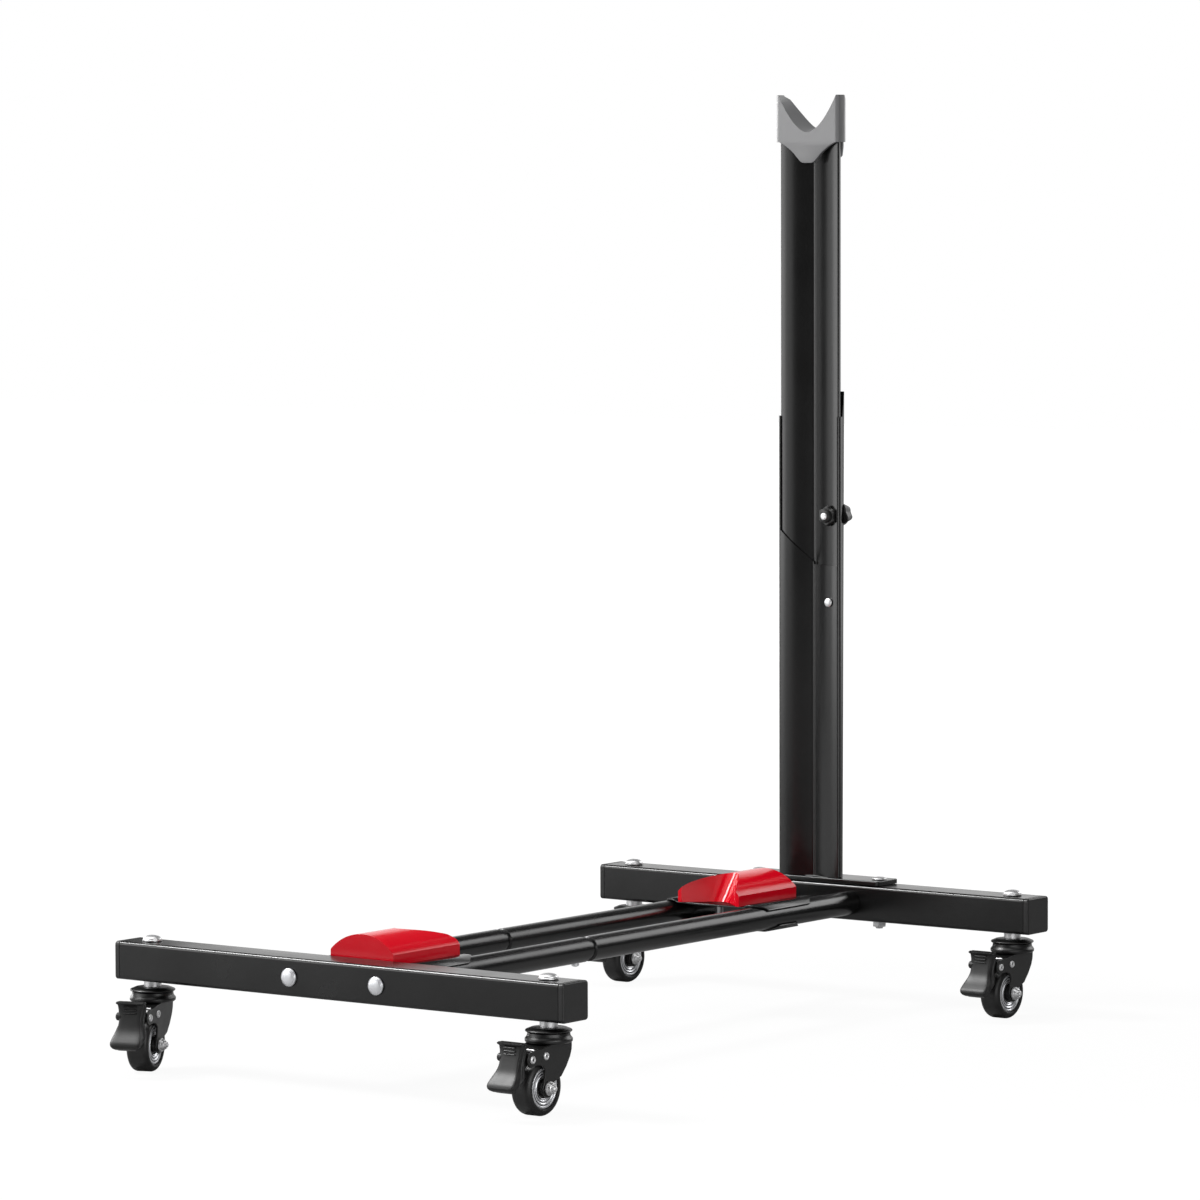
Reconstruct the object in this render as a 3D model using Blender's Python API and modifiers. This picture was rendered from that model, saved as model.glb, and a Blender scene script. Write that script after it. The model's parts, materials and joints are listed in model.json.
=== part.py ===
"""Freestanding bicycle rack that rolls on four braked casters.

Two square crossbars are joined by a pair of telescoping round tubes. Two notched
chocks clamped on the tubes hold the bottom of a bicycle wheel, and a post on the rear
crossbar, which telescopes and ends in a forked cradle, holds the wheel's upper part.

Sizes are in metres. +Z is up, the floor is at Z = 0, +X runs along the crossbars, and
the post stands at +Y. The origin lies on the floor, in the middle of the outer box.
"""

from math import asin, cos, degrees, pi, radians, sin, sqrt

import bmesh
import bpy
from mathutils import Matrix, Vector

# Clearances
GAP = 0.0003  # between neighbours that touch
RUNNING_GAP = 0.0003  # between a shaft and its hole

# Crossbars
BAR_LENGTH = 0.544
BAR_DEPTH = 0.040
BAR_HEIGHT = 0.038
BAR_WALL = 0.002
BAR_CORNER = 0.0035
BAR_SPACING = 0.8085  # centre line to centre line
CAP_THICKNESS = 0.006
CAP_EDGE = 0.0015
CAP_PLUG_WALL = 0.002
CAP_PLUG_STEM_GAP = 0.003  # from the plug's tip to the caster stem

# Long tubes
TUBE_SPACING = 0.108
TUBE_RADIUS = 0.0127
TUBE_WALL = 0.0016
FRONT_TUBE_LENGTH = 0.2905
NECK_SHOWN = 0.008
NECK_INSERTED = 0.040
TUBE_SIDES = 24
PLUG_SETBACK = 0.001
PLUG_LENGTH = 0.014
TUBE_BOLT_RADIUS = 0.004
TUBE_HEAD_RADIUS = 0.009
TUBE_HEAD_HEIGHT = 0.0045

# Snap buttons that lock the tubes together
BUTTON_SETBACK = 0.012
BUTTON_RADIUS = 0.004
BUTTON_RISE = 0.002
BUTTON_FLANGE = 0.0055
BUTTON_LEAF_LENGTH = 0.022
BUTTON_LEAF_WIDTH = 0.008
BUTTON_LEAF_THICKNESS = 0.0008

# Casters
CASTER_INSET = 0.026  # stem axis to the crossbar's end
CASTER_HEIGHT = 0.082  # floor to the top of the bearing race
STEM_RADIUS = 0.005
STEM_COLLAR_RADIUS = 0.00875
STEM_COLLAR_HEIGHT = 0.0064
STEM_HEAD_RADIUS = 0.010
STEM_HEAD_HEIGHT = 0.006
STEM_RIVET_RADIUS = 0.008
STEM_RIVET_HEIGHT = 0.0025
RACE_RADIUS = 0.0225
RACE_HEIGHT = 0.0045
CROWN_RADIUS = 0.02375
CROWN_WAIST_RADIUS = 0.0205
CROWN_HEIGHT = 0.0095
WHEEL_RADIUS = 0.027
WHEEL_SIDES = 28
WHEEL_TRAIL = 0.020
TYRE_HALF_WIDTH = 0.0115
TYRE_BAND = 0.0074  # thickness of the tyre over the hub
TREAD_HALF_WIDTH = 0.0055
HUB_SIDE_GAP = 0.0004
AXLE_RADIUS = 0.003
AXLE_NUT_RADIUS = 0.0058
AXLE_NUT_LENGTH = 0.0085
AXLE_HEAD_LENGTH = 0.0035
FORK_SIDE_GAP = 0.0015  # between the tyre and each side plate
FORK_SHEET = 0.002
FORK_BOSS_RADIUS = 0.0088
PIN_RADIUS = 0.0022
PIN_HEAD_RADIUS = 0.0038
PIN_HEAD_HEIGHT = 0.0016
PEDAL_PIVOT_REACH = 0.025  # ahead of the axle
PEDAL_PIVOT_RISE = 0.030  # above the axle
STOP_PIN_REACH = 0.004
STOP_PIN_CLEARANCE = 0.002  # above the tyre
PEDAL_SIDE_GAP = 0.0005
PEDAL_SHEET = 0.0016
PEDAL_REACH = 0.080  # stem axis to the foremost point of the pedal
SWIVEL_ANGLES = {"front_left": 19, "front_right": 0, "rear_left": 0, "rear_right": 0}

# Post base
PLATE_LENGTH = 0.178
PLATE_THICKNESS = 0.005
PLATE_CORNER = 0.004
PLATE_BOLT_INSET = 0.011  # from the plate's end
PLATE_BOLT_RADIUS = 0.004
PLATE_HEAD_RADIUS = 0.008
PLATE_HEAD_HEIGHT = 0.003
NUT_WIDTH = 0.013
NUT_HEIGHT = 0.0065
THREAD_SHOWN = 0.002

# Posts, whose front face is a trough with a fine bead along its middle
POST_WIDTH = 0.079
POST_DEPTH = 0.0158
POST_SHEET = 0.0015
POST_CORNER = 0.003
POST_TROUGH_MARGIN = 0.0042  # by which the trough falls short of the post's depth
POST_SIDE_SLOPE = 0.49  # how far the sides lean in, per unit of depth
POST_BEAD = 0.001
POST_BEAD_HALF = 0.0016
POST_LIP = 0.0245  # width of the return lip on each side of the open back
POST_SLIDE_GAP = 0.0005
LOWER_POST_TAB = 0.0267
FRONT_STRIP = 0.003  # what stays of the front wall on each side above its cut edge
FRONT_EDGE_RIGHT = 0.4668  # height of the cut edge of the front wall on the right
FRONT_EDGE_STEP = 0.0018  # by which it starts higher left of the middle
FRONT_EDGE_SLANT = 0.0341  # by which it climbs from there to the left side
SLOT_TOP_MARGIN = 0.0173  # from the slot's upper centre to the top of the sides
STOP_BOLT_INSET = 0.0135  # from the post's side
STOP_BOLT_DROP = 0.0395  # below the cut edge
STOP_BOLT_CLEARANCE = 0.0067  # under the upper post at its lowest
STOP_BOLT_RADIUS = 0.003
STOP_HEAD_RADIUS = 0.0046

# Clamp of the upper post
CLAMP_INSET = 0.0145  # from the post's side
CLAMP_ABOVE_EDGE = 0.0527  # from the cut edge of the front wall
CLAMP_BOLT_RADIUS = 0.0037
CLAMP_DROP = 0.008  # travel below the shown height
CLAMP_RISE = 0.088  # travel above it
STAR_RADIUS = 0.012
STAR_THICKNESS = 0.0055
STAR_HUB_RADIUS = 0.0055
STAR_HUB_LENGTH = 0.0035
STAR_LOBES = 6
KNOB_RADIUS = 0.015
KNOB_END_RADIUS = 0.0085
KNOB_LENGTH = 0.017
KNOB_LOBES = 5
LOBE_DEPTH = 0.16  # share of the radius

# Wheel cradle on the upper post
CRADLE_TOP = 0.966
CRADLE_WALL = 0.0018
CRADLE_OVERHANG = 0.0024  # in front of the upper post
CRADLE_REAR_OVERHANG = 0.0032
NOTCH_DEPTH = 0.0375
NOTCH_RADIUS = 0.019
PRONG_TIP = 0.0052  # width of each prong at its top
CRADLE_FLOOR = 0.005  # under the notch, over the upper post's end
CRADLE_SOCKET = 0.0075  # how far the shoulder reaches down past that end
TONGUE_DROP = 0.022  # from the shoulder to the tongue's tip
TONGUE_BEND_DROP = 0.0107
TONGUE_BEND_WIDTH = 0.037
TONGUE_TIP_WIDTH = 0.0155
TONGUE_SLOPE = 0.22
TAIL_DROP = 0.016
TAIL_WIDTH = 0.020

# Chocks
CHOCK_WIDTH = 0.078
CHOCK_LENGTH = 0.105
CHOCK_SIDE = 0.0125
CHOCK_RISE = 0.0285
CHOCK_EDGE = 0.0016
CHOCK_END_LEAN = 0.006
CHOCK_TIP = 0.0045  # width of each tip beside the notch
CHOCK_NOTCH_DEPTH = 0.032
CHOCK_NOTCH_LEAN = 0.028  # how much deeper the notch is at the roof
CHOCK_NOTCH_ROUND = 0.009
FRONT_CHOCK_CLEARANCE = 0.005  # from the crossbar's face to the chock's end
REAR_CHOCK_CLEARANCE = 0.0795
CHOCK_BOLT_SPACING = 0.048
CHOCK_BOLT_SETBACK = 0.054
CHOCK_BOLT_RADIUS = 0.004
CHOCK_BOLT_DEPTH = 0.010
SADDLE_SHEET = 0.0018
SADDLE_SETBACK = 0.003
SADDLE_OVERHANG = 0.002
SADDLE_WEB_DROP = 0.0024
SADDLE_SIDE_GAP = 0.003  # beside the chock, before the plate climbs onto the tube
SADDLE_CLIMB = 0.005
WRAP_ANGLE = 52  # degrees round the tube from its top or bottom
WRAP_END_CUT = 0.014
CLAMP_PLATE_LENGTH = 0.061

# Finishes: colour, roughness, metallic
FINISHES = {
    "black_powder_coat": ((0.020, 0.020, 0.021), 0.38, 0.0),
    "zinc_plated_steel": ((0.78, 0.78, 0.79), 0.25, 1.0),
    "red_plastic": ((0.62, 0.004, 0.012), 0.25, 0.0),
    "grey_plastic": ((0.36, 0.36, 0.37), 0.45, 0.0),
    "black_plastic": ((0.015, 0.015, 0.016), 0.40, 0.0),
    "black_polyurethane": ((0.022, 0.022, 0.023), 0.50, 0.0),
}

# Places that follow from the sizes above
AXLE_HEIGHT = WHEEL_RADIUS * cos(pi / WHEEL_SIDES)  # the tread's lowest flat meets the floor
BAR_UNDERSIDE = CASTER_HEIGHT + STEM_COLLAR_HEIGHT + 2 * GAP
BAR_MIDDLE = BAR_UNDERSIDE + BAR_HEIGHT / 2
BAR_TOP = BAR_UNDERSIDE + BAR_HEIGHT
CAP_PLUG_LENGTH = CASTER_INSET - STEM_RADIUS - CAP_PLUG_STEM_GAP
HUB_RADIUS = WHEEL_RADIUS - TYRE_BAND
FORK_INNER_HALF = TYRE_HALF_WIDTH + FORK_SIDE_GAP
PEDAL_HALF_WIDTH = FORK_INNER_HALF - PEDAL_SIDE_GAP
STOP_PIN_RISE = WHEEL_RADIUS + PIN_RADIUS + STOP_PIN_CLEARANCE
REAR_REACH = BAR_DEPTH / 2 + GAP + TUBE_HEAD_HEIGHT
FRONT_Y = (PEDAL_REACH - REAR_REACH - BAR_SPACING) / 2
REAR_Y = FRONT_Y + BAR_SPACING
CASTER_X = BAR_LENGTH / 2 - CASTER_INSET
TUBE_X = TUBE_SPACING / 2
FRONT_TUBE_START = FRONT_Y + BAR_DEPTH / 2 + GAP
FRONT_TUBE_END = FRONT_TUBE_START + FRONT_TUBE_LENGTH
REAR_TUBE_START = FRONT_TUBE_END + NECK_SHOWN
REAR_TUBE_END = REAR_Y - BAR_DEPTH / 2 - GAP
NECK_RADIUS = TUBE_RADIUS - TUBE_WALL - GAP
BUTTON_Y = FRONT_TUBE_END - BUTTON_SETBACK
PLATE_TOP = BAR_TOP + GAP + PLATE_THICKNESS
PLATE_BOLT_SPACING = PLATE_LENGTH - 2 * PLATE_BOLT_INSET
POST_BOTTOM = PLATE_TOP + GAP
POST_FRONT = REAR_Y - BAR_DEPTH / 2 + GAP
POST_BACK = POST_FRONT + POST_DEPTH
POST_TROUGH = POST_DEPTH - POST_TROUGH_MARGIN
UPPER_FRONT = POST_FRONT + POST_SHEET + POST_SLIDE_GAP
UPPER_BACK = POST_BACK - POST_SHEET - 2 * POST_SLIDE_GAP
UPPER_HALF = POST_WIDTH / 2 - POST_SHEET - POST_SLIDE_GAP
CRADLE_CEILING = CRADLE_TOP - NOTCH_DEPTH - CRADLE_FLOOR
CRADLE_SHOULDER = CRADLE_CEILING - CRADLE_SOCKET
UPPER_TOP = CRADLE_CEILING - GAP
TROUGH_BACK = UPPER_FRONT + POST_TROUGH + POST_SHEET  # rearmost line of the upper post
STOP_BOLT_OFFSET = POST_WIDTH / 2 - STOP_BOLT_INSET
STOP_BOLT_HEIGHT = FRONT_EDGE_RIGHT - STOP_BOLT_DROP
UPPER_POST_BOTTOM = STOP_BOLT_HEIGHT + STOP_BOLT_RADIUS + CLAMP_DROP + STOP_BOLT_CLEARANCE
CLAMP_OFFSET = POST_WIDTH / 2 - CLAMP_INSET
CLAMP_HEIGHT = FRONT_EDGE_RIGHT + CLAMP_ABOVE_EDGE
LOWER_POST_TOP = CLAMP_HEIGHT + CLAMP_RISE + SLOT_TOP_MARGIN
CHOCK_NOTCH_HALF = CHOCK_WIDTH / 2 - CHOCK_TIP
CHOCK_BOTTOM = BAR_MIDDLE + TUBE_RADIUS + 2 * GAP + SADDLE_SHEET - SADDLE_WEB_DROP
SWIVEL_PLACES = {
    "front_left": (-CASTER_X, FRONT_Y),
    "front_right": (CASTER_X, FRONT_Y),
    "rear_left": (-CASTER_X, REAR_Y),
    "rear_right": (CASTER_X, REAR_Y),
}
FACING = {
    "+X": (0, pi / 2, 0),
    "-X": (0, -pi / 2, 0),
    "+Y": (-pi / 2, 0, 0),
    "-Y": (pi / 2, 0, 0),
    "+Z": (0, 0, 0),
    "-Z": (pi, 0, 0),
}
OUTLINE_TURNS = {
    "X": Matrix(((0, 0, 1, 0), (1, 0, 0, 0), (0, 1, 0, 0), (0, 0, 0, 1))),
    "Y": Matrix(((1, 0, 0, 0), (0, 0, -1, 0), (0, 1, 0, 0), (0, 0, 0, 1))),
    "Z": Matrix.Identity(4),
}


# Modelling helpers
def clear_scene():
    for obj in list(bpy.data.objects):
        bpy.data.objects.remove(obj)
    for name in ("bike_rack", "cutters"):
        collection = bpy.data.collections.new(name)
        bpy.context.scene.collection.children.link(collection)


def finish(obj, name):
    colour, roughness, metallic = FINISHES[name]
    material = bpy.data.materials.get(name)
    if material is None:
        material = bpy.data.materials.new(name)
        material.use_nodes = True
        shader = material.node_tree.nodes["Principled BSDF"]
        shader.inputs["Base Color"].default_value = (*colour, 1)
        shader.inputs["Roughness"].default_value = roughness
        shader.inputs["Metallic"].default_value = metallic
    obj.data.materials.clear()
    obj.data.materials.append(material)
    return obj


def add_object(name, mesh, location=(0, 0, 0), rotation=(0, 0, 0), parent=None):
    obj = bpy.data.objects.new(name, mesh)
    bpy.data.collections["bike_rack"].objects.link(obj)
    obj.location = location
    obj.rotation_euler = rotation
    obj.parent = parent
    return obj


def smooth(mesh, angle=35):
    mesh.shade_smooth()
    mesh.set_sharp_from_angle(angle=radians(angle))


def mesh_from_bmesh(name, bm):
    bmesh.ops.recalc_face_normals(bm, faces=bm.faces)
    mesh = bpy.data.meshes.new(name)
    bm.to_mesh(mesh)
    bm.free()
    return mesh


def evaluated_mesh(obj):
    depsgraph = bpy.context.evaluated_depsgraph_get()
    return bpy.data.meshes.new_from_object(obj.evaluated_get(depsgraph))


def prism(name, loops, low, high, axis="Z", **placing):
    """A flat outline, given as closed loops of points, thickened from low to high along an axis."""
    curve = bpy.data.curves.new(name, "CURVE")
    curve.dimensions = "2D"
    curve.fill_mode = "BOTH"
    curve.extrude = (high - low) / 2
    for loop in loops:
        spline = curve.splines.new("POLY")
        spline.points.add(len(loop) - 1)
        for point, (u, v) in zip(spline.points, loop):
            point.co = (u, v, 0, 1)
        spline.use_cyclic_u = True
    outline = add_object(name, curve)
    outline_mesh = evaluated_mesh(outline)
    bpy.data.objects.remove(outline)
    bpy.data.curves.remove(curve)
    bm = bmesh.new()
    bm.from_mesh(outline_mesh)
    bpy.data.meshes.remove(outline_mesh)
    bmesh.ops.remove_doubles(bm, verts=bm.verts, dist=1e-6)
    bmesh.ops.dissolve_limit(bm, angle_limit=radians(0.2), verts=bm.verts, edges=bm.edges)
    bm.transform(OUTLINE_TURNS[axis])
    middle = (low + high) / 2
    bm.transform(Matrix.Translation(middle * Vector((axis == "X", axis == "Y", axis == "Z"))))
    mesh = mesh_from_bmesh(name, bm)
    smooth(mesh)
    return add_object(name, mesh, **placing)


def box(name, low, high, **placing):
    bm = bmesh.new()
    bmesh.ops.create_cube(bm, size=1)
    size = Vector(high) - Vector(low)
    bm.transform(Matrix.Translation((Vector(low) + Vector(high)) / 2) @ Matrix.Diagonal((*size, 1)))
    return add_object(name, mesh_from_bmesh(name, bm), **placing)


def rod(name, radius, low, high, sides=12, **placing):
    """A round rod along the object's own Z axis."""
    bm = bmesh.new()
    bmesh.ops.create_cone(
        bm, cap_ends=True, segments=sides, radius1=radius, radius2=radius, depth=high - low
    )
    bm.transform(Matrix.Translation((0, 0, (low + high) / 2)))
    mesh = mesh_from_bmesh(name, bm)
    smooth(mesh)
    return add_object(name, mesh, **placing)


def turned(name, profile, sides, ring=False, half_step=False, **placing):
    """A profile of (radius, height) points turned about the object's own Z axis.

    It runs down its outer side. A ring's profile closes on itself; any other starts and
    ends on the axis. With half_step the first flat of the rim, not an edge, faces +X.
    """
    start = pi / sides if half_step else 0
    points = [(r * cos(start), r * sin(start), h) for r, h in profile]
    edges = [(i, i + 1) for i in range(len(points) - 1)]
    if ring:
        edges.append((len(points) - 1, 0))
    mesh = bpy.data.meshes.new(name)
    mesh.from_pydata(points, edges, [])
    obj = add_object(name, mesh, **placing)
    screw = obj.modifiers.new("turn", "SCREW")
    screw.steps = sides
    screw.render_steps = sides
    screw.use_merge_vertices = True
    screw.merge_threshold = 1e-5
    screw.use_smooth_shade = True
    return obj


def dome(radius, height, base, steps=3):
    """Profile points of a domed head, from its crown on the axis down to its rim."""
    points = []
    for i in range(steps + 1):
        angle = pi / 2 * i / steps
        points.append((radius * sin(angle), base + height * (0.25 + 0.75 * cos(angle))))
    return points + [(radius, base)]


def rounded_rectangle(width, height, radius, steps=2):
    points = []
    corners = ((1, 1, 0), (-1, 1, 90), (-1, -1, 180), (1, -1, 270))
    for sx, sy, start in corners:
        for i in range(steps + 1):
            angle = radians(start + 90 * i / steps)
            u = sx * (width / 2 - radius) + radius * cos(angle)
            v = sy * (height / 2 - radius) + radius * sin(angle)
            points.append((u, v))
    return points


def arc(centre, radius, start, end, steps):
    """Points on an arc, between two angles in degrees."""
    angles = [radians(start + (end - start) * i / steps) for i in range(steps + 1)]
    return [(centre[0] + radius * cos(a), centre[1] + radius * sin(a)) for a in angles]


def bevel(obj, width, segments=2, angle=40):
    modifier = obj.modifiers.new("rounded_edges", "BEVEL")
    modifier.width = width
    modifier.segments = segments
    modifier.limit_method = "ANGLE"
    modifier.angle_limit = radians(angle)
    modifier.use_clamp_overlap = True
    return obj


def shape_with(obj, others, operation):
    collection = bpy.data.collections["cutters"]
    for other in others:
        other.name = f"{obj.name}_{operation.lower()}_tool"
        for owner in list(other.users_collection):
            owner.objects.unlink(other)
        collection.objects.link(other)
        other.hide_render = True
        other.display_type = "WIRE"
        modifier = obj.modifiers.new(operation.lower(), "BOOLEAN")
        modifier.operation = operation
        modifier.solver = "EXACT"
        modifier.object = other
    return obj


def cut(obj, *cutters):
    return shape_with(obj, cutters, "DIFFERENCE")


def fuse(obj, *others):
    return shape_with(obj, others, "UNION")


def hexagon(width):
    radius = width / 2 / cos(pi / 6)
    return [(radius * cos(pi / 3 * i), radius * sin(pi / 3 * i)) for i in range(6)]


# Crossbars
def make_crossbar(name, y):
    outer = rounded_rectangle(BAR_DEPTH, BAR_HEIGHT, BAR_CORNER)
    inner = rounded_rectangle(
        BAR_DEPTH - 2 * BAR_WALL, BAR_HEIGHT - 2 * BAR_WALL, BAR_CORNER - BAR_WALL
    )
    bar = prism(
        name, (outer, inner), -BAR_LENGTH / 2, BAR_LENGTH / 2, "X", location=(0, y, BAR_MIDDLE)
    )
    reach = max(BAR_HEIGHT, BAR_DEPTH)
    for side in (-1, 1):
        at_stem = (side * CASTER_X, y, BAR_MIDDLE)
        at_tube = (side * TUBE_X, y, BAR_MIDDLE)
        cut(bar, rod("stem_hole", STEM_RADIUS + RUNNING_GAP, -reach, reach, 16, location=at_stem))
        tube_hole = rod(
            "tube_bolt_hole", TUBE_BOLT_RADIUS + GAP, -reach, reach, location=at_tube, rotation=FACING["+Y"]
        )
        cut(bar, tube_hole)
    return finish(bar, "black_powder_coat")


def drill_for_plate(bar):
    for side in (-1, 1):
        place = (side * PLATE_BOLT_SPACING / 2, REAR_Y, BAR_MIDDLE)
        cut(bar, rod("plate_bolt_hole", PLATE_BOLT_RADIUS + GAP, -BAR_HEIGHT, BAR_HEIGHT, location=place))


def make_end_cap(name, side, y):
    end = side * (BAR_LENGTH / 2 + GAP)
    outer_face = end + side * CAP_THICKNESS
    flange = prism(
        name,
        (rounded_rectangle(BAR_DEPTH, BAR_HEIGHT, BAR_CORNER),),
        min(end, outer_face),
        max(end, outer_face),
        "X",
        location=(0, y, BAR_MIDDLE),
    )
    bevel(flange, CAP_EDGE, 2, 60)
    plug_depth = BAR_DEPTH - 2 * BAR_WALL - 2 * GAP
    plug_height = BAR_HEIGHT - 2 * BAR_WALL - 2 * GAP
    plug_corner = BAR_CORNER - BAR_WALL
    tip = end - side * CAP_PLUG_LENGTH
    root = end + side * CAP_THICKNESS / 2
    plug = prism(
        "plug",
        (
            rounded_rectangle(plug_depth, plug_height, plug_corner, 1),
            rounded_rectangle(
                plug_depth - 2 * CAP_PLUG_WALL, plug_height - 2 * CAP_PLUG_WALL, plug_corner / 2, 1
            ),
        ),
        min(tip, root),
        max(tip, root),
        "X",
        location=(0, y, BAR_MIDDLE),
    )
    fuse(flange, plug)
    return finish(flange, "black_plastic")


def make_crossbars():
    for end, y in (("front", FRONT_Y), ("rear", REAR_Y)):
        bar = make_crossbar(f"{end}_crossbar", y)
        if end == "rear":
            drill_for_plate(bar)
        for side, word in ((-1, "left"), (1, "right")):
            make_end_cap(f"{end}_end_cap_{word}", side, y)


# Long tubes
def button_hole(x):
    return rod(
        "button_hole",
        BUTTON_RADIUS + RUNNING_GAP,
        -2 * TUBE_RADIUS,
        0,
        location=(x, BUTTON_Y, BAR_MIDDLE),
    )


def end_plug(start, length):
    """Threaded plug in the end of a long tube, from start along the tube's own axis."""
    body = TUBE_RADIUS - TUBE_WALL / 2
    bore = TUBE_BOLT_RADIUS + GAP
    return [(body, start + length), (body, start), (bore, start), (bore, start + length)]


def make_front_tube(name, x):
    inner = TUBE_RADIUS - TUBE_WALL
    profile = [
        (TUBE_RADIUS, FRONT_TUBE_LENGTH),
        (TUBE_RADIUS, 0),
        (inner, 0),
        (inner, FRONT_TUBE_LENGTH),
    ]
    place = {"location": (x, FRONT_TUBE_START, BAR_MIDDLE), "rotation": FACING["+Y"]}
    tube = turned(name, profile, TUBE_SIDES, ring=True, **place)
    fuse(tube, turned("plug", end_plug(PLUG_SETBACK, PLUG_LENGTH), 16, ring=True, **place))
    cut(tube, button_hole(x))
    return finish(tube, "black_powder_coat")


def make_rear_tube(name, x):
    length = REAR_TUBE_END - REAR_TUBE_START
    neck = NECK_SHOWN + NECK_INSERTED
    shoulder = (TUBE_RADIUS - NECK_RADIUS) / 2
    neck_inner = NECK_RADIUS - TUBE_WALL
    profile = [
        (TUBE_RADIUS, length),
        (TUBE_RADIUS, shoulder),
        (NECK_RADIUS + shoulder, 0),
        (NECK_RADIUS, 0),
        (NECK_RADIUS, -neck),
        (neck_inner, -neck),
        (neck_inner, shoulder),
        (TUBE_RADIUS - TUBE_WALL, 2 * shoulder),
        (TUBE_RADIUS - TUBE_WALL, length),
    ]
    place = {"location": (x, REAR_TUBE_START, BAR_MIDDLE), "rotation": FACING["+Y"]}
    tube = turned(name, profile, TUBE_SIDES, ring=True, **place)
    plug = end_plug(length - PLUG_SETBACK - PLUG_LENGTH, PLUG_LENGTH)
    fuse(tube, turned("plug", plug, 16, ring=True, **place))
    cut(tube, button_hole(x))
    return finish(tube, "black_powder_coat")


def make_snap_button(name, x):
    """Domed pin on a leaf of spring steel that lies inside the rear tube's neck."""
    floor = -sqrt((NECK_RADIUS - TUBE_WALL) ** 2 - BUTTON_FLANGE**2) + GAP
    crown = -TUBE_RADIUS - BUTTON_RISE
    rim = -TUBE_RADIUS + TUBE_WALL
    flange_top = floor + BUTTON_LEAF_THICKNESS
    profile = [
        (0, flange_top),
        (BUTTON_FLANGE, flange_top),
        (BUTTON_FLANGE, floor),
        (BUTTON_RADIUS, floor),
        (BUTTON_RADIUS, rim - BUTTON_RISE / 2),
        (BUTTON_RADIUS * cos(radians(30)), crown + BUTTON_RISE * 0.55),
        (BUTTON_RADIUS * cos(radians(60)), crown + BUTTON_RISE * 0.15),
        (0, crown),
    ]
    button = turned(name, profile, 16, location=(x, BUTTON_Y, BAR_MIDDLE))
    half = BUTTON_LEAF_WIDTH / 2
    leaf = box("leaf", (-half, 0, floor + GAP), (half, BUTTON_LEAF_LENGTH, flange_top + GAP))
    leaf.location = (x, BUTTON_Y, BAR_MIDDLE)
    fuse(button, leaf)
    return finish(button, "zinc_plated_steel")


def make_tube_bolt(name, x, y, facing):
    grip = BAR_DEPTH / 2 + GAP
    tip = -grip - PLUG_SETBACK - PLUG_LENGTH
    profile = dome(TUBE_HEAD_RADIUS, TUBE_HEAD_HEIGHT, grip)
    profile += [(TUBE_BOLT_RADIUS, grip), (TUBE_BOLT_RADIUS, tip), (0, tip)]
    bolt = turned(name, profile, 18, location=(x, y, BAR_MIDDLE), rotation=FACING[facing])
    return finish(bolt, "zinc_plated_steel")


def make_tubes():
    for word, x in (("left", -TUBE_X), ("right", TUBE_X)):
        make_front_tube(f"front_tube_{word}", x)
        make_rear_tube(f"rear_tube_{word}", x)
        make_snap_button(f"snap_button_{word}", x)
        make_tube_bolt(f"front_tube_bolt_{word}", x, FRONT_Y, "-Y")
        make_tube_bolt(f"rear_tube_bolt_{word}", x, REAR_Y, "+Y")


# Post base
def add_nut(bolt, top, place):
    """Hexagon nut screwed on the lower end of an upright bolt."""
    fuse(bolt, prism("nut", (hexagon(NUT_WIDTH),), top - NUT_HEIGHT, top, location=place))


def make_post_base():
    outline = rounded_rectangle(PLATE_LENGTH, BAR_DEPTH, PLATE_CORNER, 4)
    plate = prism("post_base_plate", (outline,), BAR_TOP + GAP, PLATE_TOP, location=(0, REAR_Y, 0))
    nut_top = BAR_UNDERSIDE - GAP
    end = nut_top - NUT_HEIGHT - THREAD_SHOWN
    for side, word in ((-1, "left"), (1, "right")):
        place = (side * PLATE_BOLT_SPACING / 2, REAR_Y, 0)
        cut(plate, rod("plate_hole", PLATE_BOLT_RADIUS + GAP, BAR_TOP - GAP, PLATE_TOP + GAP, location=place))
        profile = dome(PLATE_HEAD_RADIUS, PLATE_HEAD_HEIGHT, PLATE_TOP + GAP)
        profile += [(PLATE_BOLT_RADIUS, PLATE_TOP + GAP), (PLATE_BOLT_RADIUS, end), (0, end)]
        bolt = turned(f"post_base_bolt_{word}", profile, 16, location=place)
        add_nut(bolt, nut_top, place)
        finish(bolt, "zinc_plated_steel")
    finish(plate, "black_powder_coat")


# Posts
def trough(x):
    """How far a post's front face is drawn back at a distance from its middle."""
    half = POST_WIDTH / 2 - POST_CORNER
    depth = 0
    if abs(x) < half:
        depth = POST_TROUGH * cos(pi / 2 * x / half) ** 2
    if abs(x) < POST_BEAD_HALF:
        depth -= POST_BEAD * cos(pi / 2 * x / POST_BEAD_HALF) ** 2
    return depth


def post_path(half, front, back, corner, lip=0):
    """A post's wall seen from above, from its left rear end round the front to its right rear end."""
    bead = [POST_BEAD_HALF * share for share in (0, 0.5, 1)]
    reach = half - corner
    wave = [reach * i / 7 for i in range(1, 8)]
    right = [(x, front + trough(x)) for x in bead + wave]
    right += arc((half - corner, front + corner), corner, -90, 0, 4)[1:]
    side_end = back - corner if lip else back
    rear = half - POST_SIDE_SLOPE * (side_end - front - corner)
    if lip:
        right += arc((rear - corner, side_end), corner, 0, 90, 4)
        right.append((lip, back))
    else:
        right.append((rear, back))
    left = [(-x, y) for x, y in reversed(right[1:])]
    return left + right


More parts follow.
